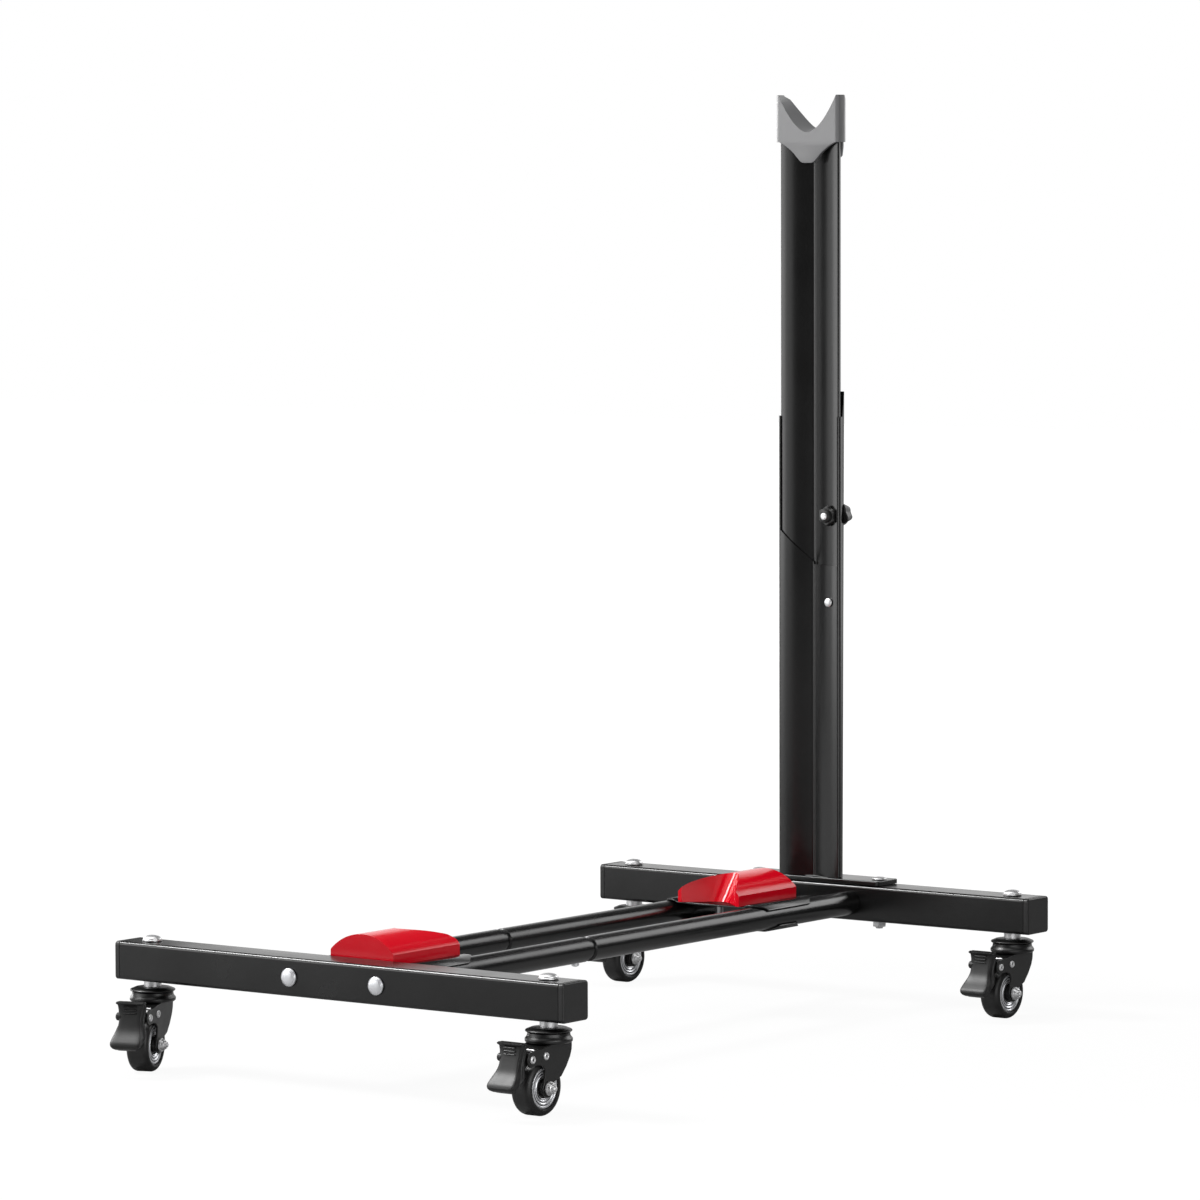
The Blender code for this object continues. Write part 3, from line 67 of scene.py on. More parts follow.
# Places read from the frame
RECORD = frame["record"]
BODY_OF = {node: body for body, nodes in RECORD["behaviour"]["bodies"].items() for node in nodes}
SLOT_OF = {part["node"]: part["material_slot"] for part in RECORD["subparts"]}
ENDS = ("front", "rear")
SIDES = (("left", -1), ("right", 1))
CORNERS = tuple(f"{end}_{word}" for end in ENDS for word, _ in SIDES)
GAP = 0.0003  # between neighbours that touch
NECK_SHOWN = 0.008  # between the long tubes, where the neck shows
BUTTON_FLANGE = 0.0055  # radius of the snap buttons' flange
BUTTON_PROUD = 0.0012  # by which the buttons stand out further than the frame's
RACE_TOP = 0.082  # of the casters' bearing races
RACE_HEIGHT = 0.0045
CROWN_TOP = RACE_TOP - RACE_HEIGHT - GAP  # of the casters' forks
CROWN_HEIGHT = 0.0095
HUB_RADIUS = 0.0196


def middle_of(node):
    low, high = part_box(node)
    return (Vector(low) + Vector(high)) / 2


BAR_LOW = Vector(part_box("front_crossbar")[0])
BAR_HIGH = Vector(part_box("front_crossbar")[1])
BAR_UNDERSIDE = BAR_LOW.z
BAR_TOP = BAR_HIGH.z
BAR_DEPTH = BAR_HIGH.y - BAR_LOW.y
BAR_HEIGHT = BAR_TOP - BAR_UNDERSIDE
BAR_Z = (BAR_TOP + BAR_UNDERSIDE) / 2
BAR_Y = {end: middle_of(f"{end}_crossbar").y for end in ENDS}
TUBE_X = middle_of("front_tube_right").x
TUBE_RADIUS = (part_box("front_tube_right")[1][0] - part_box("front_tube_right")[0][0]) / 2
PLATE_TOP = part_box("post_base_plate")[1][2]
POST_LOW = Vector(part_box("lower_post")[0])
POST_HIGH = Vector(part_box("lower_post")[1])
UPPER_LOW = Vector(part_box("upper_post")[0])
UPPER_HIGH = Vector(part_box("upper_post")[1])
JOINTS = {joint["name"]: joint for joint in frame["joints"]}

AXIS_TURNS = {
    "X": Matrix(((0, 0, 1, 0), (1, 0, 0, 0), (0, 1, 0, 0), (0, 0, 0, 1))),
    "Y": Matrix(((1, 0, 0, 0), (0, 0, -1, 0), (0, 1, 0, 0), (0, 0, 0, 1))),
    "Z": Matrix.Identity(4),
}
FACING = {
    "+X": Euler((0, pi / 2, 0)).to_matrix().to_4x4(),
    "-X": Euler((0, -pi / 2, 0)).to_matrix().to_4x4(),
    "+Y": Euler((-pi / 2, 0, 0)).to_matrix().to_4x4(),
    "-Y": Euler((pi / 2, 0, 0)).to_matrix().to_4x4(),
    "+Z": Matrix.Identity(4),
    "-Z": Euler((pi, 0, 0)).to_matrix().to_4x4(),
}


def placed(x, y, z, facing="+Z"):
    """Matrix that turns a piece's own +Z to face a way, and puts it in its place."""
    return Matrix.Translation((x, y, z)) @ FACING[facing]


def mm(*points, r=0.0, h=0.0):
    """Outline points written in millimetres, counted from (r, h)."""
    return [(r + u / 1000, h + v / 1000) for u, v in points]


def linear(hex_colour):
    """A colour written as sRGB hex, as the linear values that shaders take."""
    values = [int(hex_colour[i : i + 2], 16) / 255 for i in (1, 3, 5)]
    return tuple(v / 12.92 if v <= 0.04045 else ((v + 0.055) / 1.055) ** 2.4 for v in values)


# Sizes and colours that a user may change
def length(name, description, default):
    return FloatProperty(name=name, description=description, default=default, min=0.0, unit="LENGTH", precision=5)


def share(name, description, default, high=1.0):
    return FloatProperty(name=name, description=description, default=default, min=0.0, max=high)


def angle(name, description, turn):
    return FloatProperty(name=name, description=description, default=radians(turn), subtype="ANGLE")


def colour(name, description, hex_colour):
    return FloatVectorProperty(
        name=name, description=description, default=linear(hex_colour), size=3, min=0, max=1, subtype="COLOR"
    )


class RackFinishes(PropertyGroup):
    coat_colour: colour("Powder coat", "Colour of the coated steel", "#0C0C0C")
    plastic_colour: colour("Black plastic", "Colour of caps, knobs and brake pedals", "#181818")
    red_colour: colour("Chock red", "Colour of the wheel chocks", "#D8021C")
    grey_colour: colour("Cradle grey", "Colour of the wheel cradle", "#7A7A7B")
    zinc_colour: colour("Zinc", "Colour of the plated bolts and hubs", "#D4D5D8")
    tyre_colour: colour("Tyre black", "Colour of the caster tyres", "#161616")


class RackFrameSizes(PropertyGroup):
    bar_corner: length("Bar corner", "Radius along the crossbars' edges", 0.0035)
    cap_edge: length("Cap edge", "Rounding of the end caps' outer rim", 0.0018)
    seam: length("Cap seam", "Rounding on each side of the seam between bar and cap", 0.0005)
    tube_wall: length("Tube wall", "Wall of the long tubes", 0.0016)
    neck_radius: length("Neck radius", "Radius of the rear tubes' swaged neck", 0.0108)
    button_radius: length("Button radius", "Radius of the snap buttons", 0.004)
    nut_width: length("Nut width", "Width across the flats of the hexagon nuts", 0.013)


class RackPostSizes(PropertyGroup):
    width: length("Post width", "Outer width of the lower post", 0.079)
    depth: length("Post depth", "Outer depth of the lower post", 0.0158)
    sheet: length("Sheet", "Thickness of the posts' sheet steel", 0.0015)
    corner: length("Corner", "Outer bend radius of the posts' front corners", 0.003)
    trough: length("Trough", "How far the front face is drawn back in the middle", 0.0116)
    side_slope: share("Side slope", "How far the sides lean in, per unit of depth", 0.49)
    bead: length("Bead", "Height of the fine bead along the middle", 0.001)
    bead_half: length("Bead half width", "Half the width of that bead", 0.0016)
    lip: length("Lip", "Width of the return lips at the back", 0.0245)
    slide_gap: length("Slide gap", "Clearance between the two posts", 0.0005)
    edge_right: length("Cut edge", "Height of the front wall's cut edge on the right", 0.4668)
    edge_step: length("Cut edge step", "How much higher it starts left of the middle", 0.0018)
    edge_slant: length("Cut edge slant", "How far it climbs to the left side", 0.0341)
    strip: length("Front strip", "What stays of the front wall beside the window", 0.003)
    tab: length("Tab", "Height of the tab at the top of the right lip", 0.0267)
    tab_lean: length("Tab lean", "How far the tab leans back at its top", 0.003)


class RackCradleSizes(PropertyGroup):
    half_width: length("Half width", "Half the cradle's width", 0.0400)
    overhang: length("Front overhang", "How far it stands proud of the post's front", 0.0045)
    rear_overhang: length("Rear overhang", "How far it stands proud of the post's back", 0.0045)
    straight: length("Straight side", "Length of the sides' front part, which doesn't lean in", 0.0115)
    edge: length("Edge", "Rounding of the cradle's upright edges", 0.0026)
    rim: length("Rim", "Rounding of the notch's edges", 0.0010)
    prong_tip: length("Prong tip", "Width of each prong at its top, in front", 0.0028)
    notch_front: length("Notch depth, front", "Depth of the notch in the front face", 0.0395)
    notch_rear: length("Notch depth, rear", "Depth of the notch in the rear face", 0.0350)
    floor: length("Floor", "Thickness under the notch", 0.003)
    socket: length("Socket", "How far the shoulder reaches past the post's end", 0.0075)
    tongue_drop: length("Tongue drop", "From the shoulder to the tongue's tip", 0.022)
    tongue_bend_drop: length("Tongue bend", "From the shoulder to the tongue's bend", 0.0107)
    tongue_bend_width: length("Tongue bend width", "Width of the tongue at its bend", 0.037)
    tongue_tip_width: length("Tongue tip width", "Width of the tongue at its tip", 0.0155)
    tail_drop: length("Tail drop", "From the shoulder to the tail's tip", 0.016)
    tail_half: length("Tail half width", "Half the width of the tail behind the post, at its tip", 0.031)


class RackChockSizes(PropertyGroup):
    side: length("Side band", "Height of the upright side bands", 0.0125)
    ledge: length("Ledge", "Width of the chamfer between the side bands and the roof", 0.0010)
    edge: length("Edge", "Chamfer of the chocks' edges", 0.0009)
    end_lean: length("End lean", "How far the end face leans in at the roof", 0.001)
    tip: length("Tip", "Width of each tip beside the notch", 0.0045)
    notch_depth: length("Notch depth", "Depth of the notch at the bottom", 0.032)
    notch_lean: length("Notch lean", "How much deeper the notch is at the roof", 0.028)
    notch_round: length("Notch valley", "Half width of the notch's rounded valley", 0.013)
    bolt_setback: length("Bolt setback", "From the tips to the bolts", 0.054)
    sheet: length("Plate sheet", "Thickness of the saddle and clamp plates", 0.0018)
    wrap: angle("Wrap", "Angle of the plates round the tube", 52)
    wrap_cut: length("Wrap end cut", "How far the wrapped edge draws in at its ends", 0.014)


class RackCasterSizes(PropertyGroup):
    wheel_trail: length("Trail", "From the stem's axis to the axle", 0.020)
    tyre_half: length("Tyre half width", "Half the width of the tyre", 0.0115)
    fork_inner: length("Fork inner half", "Half the space between the fork's plates", 0.013)
    fork_sheet: length("Fork sheet", "Thickness of the fork's plates", 0.002)
    crown_radius: length("Crown radius", "Radius of the fork's crown", 0.02375)
    race_radius: length("Race radius", "Radius of the bearing race", 0.0225)
    pedal_sheet: length("Pedal wall", "Wall of the brake pedal", 0.0016)
    pivot_reach: length("Pivot reach", "From the axle to the pedal's pivot, ahead", 0.025)
    pivot_rise: length("Pivot rise", "From the axle to the pedal's pivot, upwards", 0.030)


class RackStage(PropertyGroup):
    camera_place: FloatVectorProperty(
        name="Camera", description="Where the camera stands", default=(3.73986, -5.00700, 0.90647), subtype="TRANSLATION"
    )
    camera_tilt: angle("Tilt", "How far the camera looks down", 4.145)
    camera_pan: angle("Pan", "Turn of the camera round the vertical", 36.546)
    camera_roll: angle("Roll", "Turn of the camera about its own axis", -0.17)
    lens: FloatProperty(name="Lens", description="Focal length in millimetres on a 36 mm sensor", default=185.541, min=1.0)
    fill: share("Fill", "Strength of the even light from all round", 0.09, 5.0)
    key_light: share("Key light", "Brightness of the softbox at the upper left", 42.0, 500.0)
    top_light: share("Top light", "Brightness of the softbox overhead", 2.1, 100.0)
    right_light: share("Right light", "Brightness of the softbox at the upper right", 1.2, 500.0)
    left_light: share("Left light", "Brightness of the screen at the front left", 2.3, 50.0)
    strip_light: share("Strip lights", "Brightness of the two upright strips", 9.0, 500.0)
    back_light: share("Back light", "Brightness of the wall behind", 0.9, 50.0)
    tube_light: share("Tube light", "Brightness of the screen high behind", 3.2, 50.0)
    chock_light: share("Chock light", "Brightness of the small softbox low at the right", 10.0, 100.0)
    floor_colour: colour("Floor", "Colour of the floor", "#A2A2A2")


SETTINGS = {
    "rack_finishes": RackFinishes,
    "rack_frame": RackFrameSizes,
    "rack_post": RackPostSizes,
    "rack_cradle": RackCradleSizes,
    "rack_chock": RackChockSizes,
    "rack_caster": RackCasterSizes,
    "rack_stage": RackStage,
}


# Materials
def add_node(tree, kind, inputs=None, links=None, **settings):
    """Adds a node with its settings, the values of its sockets, and links {socket: source socket}."""
    node = tree.nodes.new(kind)
    for name, value in settings.items():
        setattr(node, name, value)
    for name, value in (inputs or {}).items():
        node.inputs[name].default_value = value
    for name, source in (links or {}).items():
        tree.links.new(source, node.inputs[name])
    return node


def texture(tree, place, scale, detail=2.0, roughness=0.5, kind="Noise"):
    inputs = {"Scale": scale}
    if kind == "Noise":
        inputs.update({"Detail": detail, "Roughness": roughness})
    return add_node(tree, "ShaderNodeTex" + kind, inputs, {"Vector": place}).outputs[0]


def make_material(
    name, colour, roughness, relief, bump, patches, rough, tints,
    metallic=0.0, ior=1.5, fine=None, stretch=None, kind="Noise", rough_by_relief=False,
):
    """A material whose relief, roughness and tint all vary by noises in the object's own place.

    relief and patches are noises (scale, detail, roughness), bump is its strength and depth,
    fine adds a share of a second noise to the relief, and rough and tints are the lowest and
    highest roughness and share of the colour.
    """
    tint = getattr(bpy.context.scene.rack_finishes, colour)
    material = bpy.data.materials.new(name)
    material.use_nodes = True
    material.diffuse_color = (*tint, 1)
    tree = material.node_tree
    shader = tree.nodes["Principled BSDF"]
    uniform = {"Base Color": (*tint, 1), "Roughness": roughness, "Metallic": metallic, "IOR": ior}
    for socket, value in uniform.items():
        shader.inputs[socket].default_value = value
    place = add_node(tree, "ShaderNodeTexCoord").outputs["Object"]

    drawn = place
    if stretch:
        drawn = add_node(tree, "ShaderNodeMapping", {"Scale": stretch}, {"Vector": place}).outputs["Vector"]
    height = swell = texture(tree, drawn, *relief, kind=kind)
    if fine:
        scale, part = fine
        grain = texture(tree, place, scale, 1.0)
        both = add_node(tree, "ShaderNodeMath", {1: part}, {0: grain, 2: swell}, operation="MULTIPLY_ADD")
        height = both.outputs[0]
    raised = add_node(tree, "ShaderNodeBump", {"Strength": bump[0], "Distance": bump[1]}, {"Height": height})
    tree.links.new(raised.outputs["Normal"], shader.inputs["Normal"])

    spots = texture(tree, place, *patches)
    limits = {"From Min": 0.3, "From Max": 0.7, "To Min": rough[0], "To Max": rough[1]}
    spread = add_node(tree, "ShaderNodeMapRange", limits, {"Value": swell if rough_by_relief else spots})
    tree.links.new(spread.outputs["Result"], shader.inputs["Roughness"])
    dark, light = [(*(min(1.0, channel * part) for channel in tint), 1) for part in tints]
    mix = add_node(tree, "ShaderNodeMix", data_type="RGBA")
    mix.inputs[6].default_value = dark
    mix.inputs[7].default_value = light
    tree.links.new(spots, mix.inputs[0])
    tree.links.new(mix.outputs[2], shader.inputs["Base Color"])
    return material


FINISHES = {
    # Baked polyester powder on steel: a satin black. Its film flows into an orange peel with
    # swells of about 1.5 mm and a grain of 0.2 mm; handling leaves faint patches 60 mm across.
    "coat": dict(
        name="powder_coated_steel", colour="coat_colour", roughness=0.24, relief=(650.0,), fine=(3200.0, 0.35),
        bump=(0.018, 0.00006), patches=(16.0, 3.0), rough=(0.21, 0.28), tints=(0.88, 1.12),
    ),
    # The posts' powder coat, which flowed out smoother on the drawn sheet: swells of some 3 mm.
    "post": dict(
        name="gloss_coated_steel", colour="coat_colour", roughness=0.24, ior=1.6, relief=(330.0,),
        bump=(0.012, 0.0001), patches=(14.0,), rough=(0.22, 0.26), tints=(0.7, 0.9),
    ),
    # Black electrophoretic paint on pressed steel: a thin film over rolling marks 0.4 mm apart.
    "ecoat": dict(
        name="electrocoated_steel", colour="coat_colour", roughness=0.36, relief=(2200.0,),
        bump=(0.03, 0.00005), patches=(70.0,), rough=(0.32, 0.40), tints=(0.8, 1.0),
    ),
    # Glass-filled black nylon: fibres near the skin roughen it at about 0.4 mm.
    "pedal": dict(
        name="matt_moulded_nylon", colour="plastic_colour", roughness=0.52, relief=(2400.0,),
        bump=(0.05, 0.0001), patches=(60.0,), rough=(0.40, 0.46), tints=(0.55, 0.75),
    ),
    # Injection-moulded black polypropylene: spark erosion of the mould leaves pits of 0.3 mm.
    "plastic": dict(
        name="moulded_polypropylene", colour="plastic_colour", roughness=0.42, ior=1.49, relief=(2600.0,),
        kind="Voronoi", bump=(0.10, 0.0001), patches=(45.0,), rough=(0.36, 0.46), tints=(0.9, 1.15),
    ),
    # Bright zinc on cold-formed steel: a cool mirror broken by lines drawn out along one way.
    "zinc": dict(
        name="zinc_plated_steel", colour="zinc_colour", roughness=0.20, metallic=1.0, relief=(900.0, 3.0, 0.6),
        stretch=(1.0, 1.0, 9.0), bump=(0.02, 0.00005), patches=(160.0,), rough=(0.10, 0.20),
        rough_by_relief=True, tints=(0.86, 1.05),
    ),
    # Turned steel under a thin plating: fine tool lines spread the light into a soft sheen.
    "turned": dict(
        name="satin_turned_steel", colour="zinc_colour", roughness=0.34, metallic=0.72, relief=(1400.0,),
        bump=(0.008, 0.00005), patches=(120.0,), rough=(0.30, 0.38), rough_by_relief=True, tints=(1.05, 1.3),
    ),
    # Injection-moulded red ABS from a polished mould, its skin swelling over some 12 mm. Real ABS
    # has an IOR of 1.54; it is lower here, as the photo's chocks hardly mirror the studio.
    "red": dict(
        name="gloss_moulded_abs", colour="red_colour", roughness=0.17, ior=1.34, relief=(85.0, 1.0),
        fine=(1800.0, 0.08), bump=(0.010, 0.0002), patches=(85.0, 1.0), rough=(0.15, 0.19), tints=(0.98, 1.02),
    ),
    # Injection-moulded grey nylon: a satin skin with a fine mould grain.
    "grey": dict(
        name="satin_moulded_nylon", colour="grey_colour", roughness=0.34, ior=1.53, relief=(2200.0,),
        bump=(0.06, 0.0001), patches=(38.0,), rough=(0.31, 0.38), tints=(0.95, 1.06),
    ),
    # Cast black polyurethane: a dense, slightly waxy rubber that scuffs where it rolls.
    "tyre": dict(
        name="cast_polyurethane", colour="tyre_colour", roughness=0.38, relief=(420.0, 4.0, 0.6),
        bump=(0.08, 0.0001), patches=(60.0, 3.0), rough=(0.32, 0.46), tints=(0.88, 1.2),
    ),
}
SLOT_FINISH = {
    "black_powder_coat": "coat",
    "black_plastic": "plastic",
    "zinc_plated_steel": "zinc",
    "red_plastic": "red",
    "grey_plastic": "grey",
    "black_polyurethane": "tyre",
}


def finish_of(key):
    return bpy.data.materials.get(FINISHES[key]["name"]) or make_material(**FINISHES[key])


# Shapes
def slab(outline, low, high, axis="Z"):
    """A flat outline, thickened from low to high along an axis."""
    bm = bmesh.new()
    face = bm.faces.new([bm.verts.new((u, v, low)) for u, v in outline])
    grown = bmesh.ops.extrude_face_region(bm, geom=[face])["geom"]
    far = [item for item in grown if isinstance(item, bmesh.types.BMVert)]
    bmesh.ops.translate(bm, verts=far, vec=(0, 0, high - low))
    bm.transform(AXIS_TURNS[axis])
    if axis == "Y":  # that turn runs to -Y, so it is brought back
        lowest = min(vert.co.y for vert in bm.verts)
        bmesh.ops.translate(bm, verts=bm.verts, vec=(0, low - lowest, 0))
    bmesh.ops.recalc_face_normals(bm, faces=bm.faces)
    return bm


def block(low, high):
    bm = bmesh.new()
    bmesh.ops.create_cube(bm, size=1)
    size = Vector(high) - Vector(low)
    bm.transform(Matrix.Translation((Vector(low) + Vector(high)) / 2) @ Matrix.Diagonal((*size, 1)))
    return bm


def lathe(profile, sides=48, ring=False, place=None):
    """A profile of (radius, height) points, spun about Z and then put in its place."""
    bm = bmesh.new()
    points = [bm.verts.new((r, 0, h)) for r, h in profile]
    ends = points[1:] + points[:1] if ring else points[1:]
    lines = [bm.edges.new(pair) for pair in zip(points, ends)]
    spin = {"cent": (0, 0, 0), "axis": (0, 0, 1), "dvec": (0, 0, 0), "angle": 2 * pi, "use_merge": True}
    bmesh.ops.spin(bm, geom=points + lines, steps=sides, **spin)
    bmesh.ops.remove_doubles(bm, verts=bm.verts, dist=1e-6)
    bmesh.ops.recalc_face_normals(bm, faces=bm.faces)
    if place is not None:
        bm.transform(place)
    return bm


def rod(radius, low, high, sides=32, place=None):
    return lathe([(0, low), (radius, low), (radius, high), (0, high)], sides, place=place)


def soften(bm, width, segments=3, angle=35, where=None):
    """Rounds the edges that turn by more than an angle in degrees."""
    chosen = [
        edge for edge in bm.edges
        if len(edge.link_faces) == 2 and edge.calc_face_angle() > radians(angle) and (where is None or where(edge))
    ]
    bmesh.ops.bevel(
        bm, geom=chosen, offset=width, offset_type="OFFSET", segments=segments, profile=0.5,
        affect="EDGES", material=-1, clamp_overlap=True, loop_slide=True,
    )
    return bm


def joined(*solids):
    """Separate closed shells kept in one mesh."""
    whole = bmesh.new()
    for bm in solids:
        mesh = bpy.data.meshes.new("shell")
        bm.to_mesh(mesh)
        bm.free()
        whole.from_mesh(mesh)
        bpy.data.meshes.remove(mesh)
    return whole


def solid_object(bm):
    mesh = bpy.data.meshes.new("solid")
    bm.to_mesh(mesh)
    bm.free()
    obj = bpy.data.objects.new("solid", mesh)
    bpy.context.scene.collection.objects.link(obj)
    return obj


def boolean(bm, steps):
    """The solid after each (operation, other solid), worked out exactly."""
    whole = solid_object(bm)
    objects = [whole]
    for operation, other in steps:
        helper = solid_object(other)
        objects.append(helper)
        modifier = whole.modifiers.new(operation.lower(), "BOOLEAN")
        modifier.operation = operation
        modifier.solver = "EXACT"
        modifier.object = helper
    graph = bpy.context.evaluated_depsgraph_get()
    result = bpy.data.meshes.new_from_object(whole.evaluated_get(graph))
    shaped = bmesh.new()
    shaped.from_mesh(result)
    meshes = [result] + [obj.data for obj in objects]
    for obj in objects:
        bpy.data.objects.remove(obj)
    for mesh in meshes:
        bpy.data.meshes.remove(mesh)
    return shaped


def carve(bm, cutters=(), additions=()):
    """The solid after others are joined to it and others cut from it."""
    steps = [("UNION", tool) for tool in additions] + [("DIFFERENCE", tool) for tool in cutters]
    shaped = boolean(bm, steps)
    bmesh.ops.remove_doubles(shaped, verts=shaped.verts, dist=1e-6)
    bmesh.ops.dissolve_degenerate(shaped, edges=shaped.edges, dist=1e-6)
    return shaped


def arc(centre, radius, start, end, steps):
    angles = [radians(start + (end - start) * i / steps) for i in range(steps + 1)]
    return [(centre[0] + radius * cos(a), centre[1] + radius * sin(a)) for a in angles]


def dome(radius, seat, height, flat=0.0, steps=8, power=1.0):
    """Profile of a bolt head from its top to its rim; flat is the share of its height below the dome."""
    turns = [pi / 2 * i / steps for i in range(steps + 1)]
    return [(radius * sin(a) ** power, seat + height * (flat + (1 - flat) * cos(a))) for a in turns]


def mirrored(outline):
    """Half an outline with its mirror image across X = 0."""
    return outline + [(-x, y) for x, y in reversed(outline)]


def rounded_rectangle(width, height, radius, steps=5):
    points = []
    for sx, sy, start in ((1, 1, 0), (-1, 1, 90), (-1, -1, 180), (1, -1, 270)):
        middle = (sx * (width / 2 - radius), sy * (height / 2 - radius))
        points += arc(middle, radius, start, start + 90, steps)
    return points


def lofted(near, far):
    """A closed solid between two loops with as many points each."""
    bm = bmesh.new()
    lines = []
    for loop in (near, far):
        verts = [bm.verts.new(point) for point in loop]
        lines += [bm.edges.new(pair) for pair in zip(verts, verts[1:] + verts[:1])]
        bm.faces.new(verts)
    bmesh.ops.bridge_loops(bm, edges=lines)
    bmesh.ops.recalc_face_normals(bm, faces=bm.faces)
    return bm


def eased(points, radius, steps=4):
    """A closed outline with each corner rounded."""
    smooth_line = []
    for i, point in enumerate(points):
        here = Vector(point)
        before = Vector(points[i - 1]) - here
        after = Vector(points[(i + 1) % len(points)]) - here
        reach = min(radius, before.length * 0.45, after.length * 0.45)
        start = here + before.normalized() * reach
        end = here + after.normalized() * reach
        for step in range(steps + 1):
            t = step / steps
            smooth_line.append(tuple(start * (1 - t) ** 2 + here * 2 * t * (1 - t) + end * t**2))
    return smooth_line


def hex_nut(width, low, high):
    """A hexagon nut along Z, its corners turned down to cones at both ends."""
    half, corner = width / 2, width / 2 / cos(pi / 6)
    hexagon = [(corner * cos(pi / 3 * i), corner * sin(pi / 3 * i)) for i in range(6)]
    down = (corner - half) * 0.55
    blank = [(0, low), (half, low), (corner, low + down), (corner, high - down), (half, high), (0, high)]
    return boolean(slab(hexagon, low, high), [("INTERSECT", lathe(blank))])


def thread(radius, low, high, pitch=0.00125):
    """Profile points of a thread's rings, from low to high."""
    points = []
    turns = max(1, int((high - low) / pitch))
    step = (high - low) / turns
    for i in range(turns):
        base = low + i * step
        points += [(radius * 0.88, base), (radius, base + step * 0.5)]
    return points + [(radius * 0.88, high)]


def weighed_normals(bm, angle):
    """Corner normals that lean to the larger faces, so that flats stay flat beside their rounded edges."""
    bm.normal_update()
    limit = radians(angle)
    sharp = {edge for edge in bm.edges if len(edge.link_faces) != 2 or edge.calc_face_angle() > limit}
    areas = {face: face.calc_area() for face in bm.faces}
    found = {}
    for vert in bm.verts:
        waiting = set(vert.link_faces)
        while waiting:
            group = [waiting.pop()]
            for face in group:
                for edge in face.edges:
                    if edge in sharp or vert not in edge.verts:
                        continue
                    for other in edge.link_faces:
                        if other in waiting:
                            waiting.remove(other)
                            group.append(other)
            normal = sum((face.normal * areas[face] for face in group), Vector()).normalized()
            for face in group:
                found[face, vert] = normal
    return [found[face, loop.vert] for face in bm.faces for loop in face.loops]


def piece(name, bm, node, finishes=None, paint=None, angle=40, nodes=()):
    """Makes the finished piece that stands for a frame node and rides on its body."""
    mesh = bpy.data.meshes.new(name)
    if paint is not None:
        for face in bm.faces:
            face.material_index = paint(face)
    normals = weighed_normals(bm, angle)
    bm.to_mesh(mesh)
    bm.free()
    for finish in finishes or (SLOT_FINISH[SLOT_OF[node]],):
        mesh.materials.append(finish_of(finish))
    mesh.shade_smooth()
    mesh.set_sharp_from_angle(angle=radians(angle))
    mesh.normals_split_custom_set(normals)
    obj = bpy.data.objects.new(name, mesh)
    bpy.context.scene.collection.objects.link(obj)
    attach(obj, BODY_OF[node])
    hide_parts(node, *nodes)
    return obj


def rounded_by_modifier(obj, width, segments=3, angle=35):
    """Rounds a finished piece's edges, with shading that keeps its flats flat."""
    modifier = obj.modifiers.new("rounded_edges", "BEVEL")
    modifier.width = width
    modifier.segments = segments
    modifier.limit_method = "ANGLE"
    modifier.angle_limit = radians(angle)
    modifier.harden_normals = True
    modifier.use_clamp_overlap = True
    return obj


# Crossbars
class RACK_OT_crossbars(Operator):
    """Build the two square crossbars and their four end caps"""

    bl_idname = "rack.crossbars"
    bl_label = "Crossbars and caps"

    def execute(self, context):
        sizes = context.scene.rack_frame
        outline = rounded_rectangle(BAR_DEPTH, BAR_HEIGHT, sizes.bar_corner)
        for end in ENDS:
            place = Matrix.Translation((0, BAR_Y[end], BAR_Z))
            low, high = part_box(f"{end}_crossbar")
            bar = soften(slab(outline, low[0], high[0], "X"), sizes.seam, 2, 60)
            bar.transform(place)
            piece(f"{end}_square_bar", bar, f"{end}_crossbar")
            for word, side in SIDES:
                self.make_cap(sizes, end, word, side, outline, place)
        return {"FINISHED"}

    def make_cap(self, sizes, end, word, side, outline, place):
        node = f"{end}_end_cap_{word}"
        low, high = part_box(node)
        bar_end = side * (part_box(f"{end}_crossbar")[1][0] + GAP)
        outer = high[0] if side > 0 else low[0]
        near, far = sorted((bar_end, outer))
        cap = slab(outline, near, far, "X")

        def at(x):
            return lambda edge: all(abs(vert.co.x - x) < 1e-5 for vert in edge.verts)

        soften(cap, sizes.cap_edge, 4, 60, at(outer))
        soften(cap, sizes.seam, 2, 60, at(bar_end))
        cap.transform(place)
        piece(f"{end}_cap_{word}", cap, node)


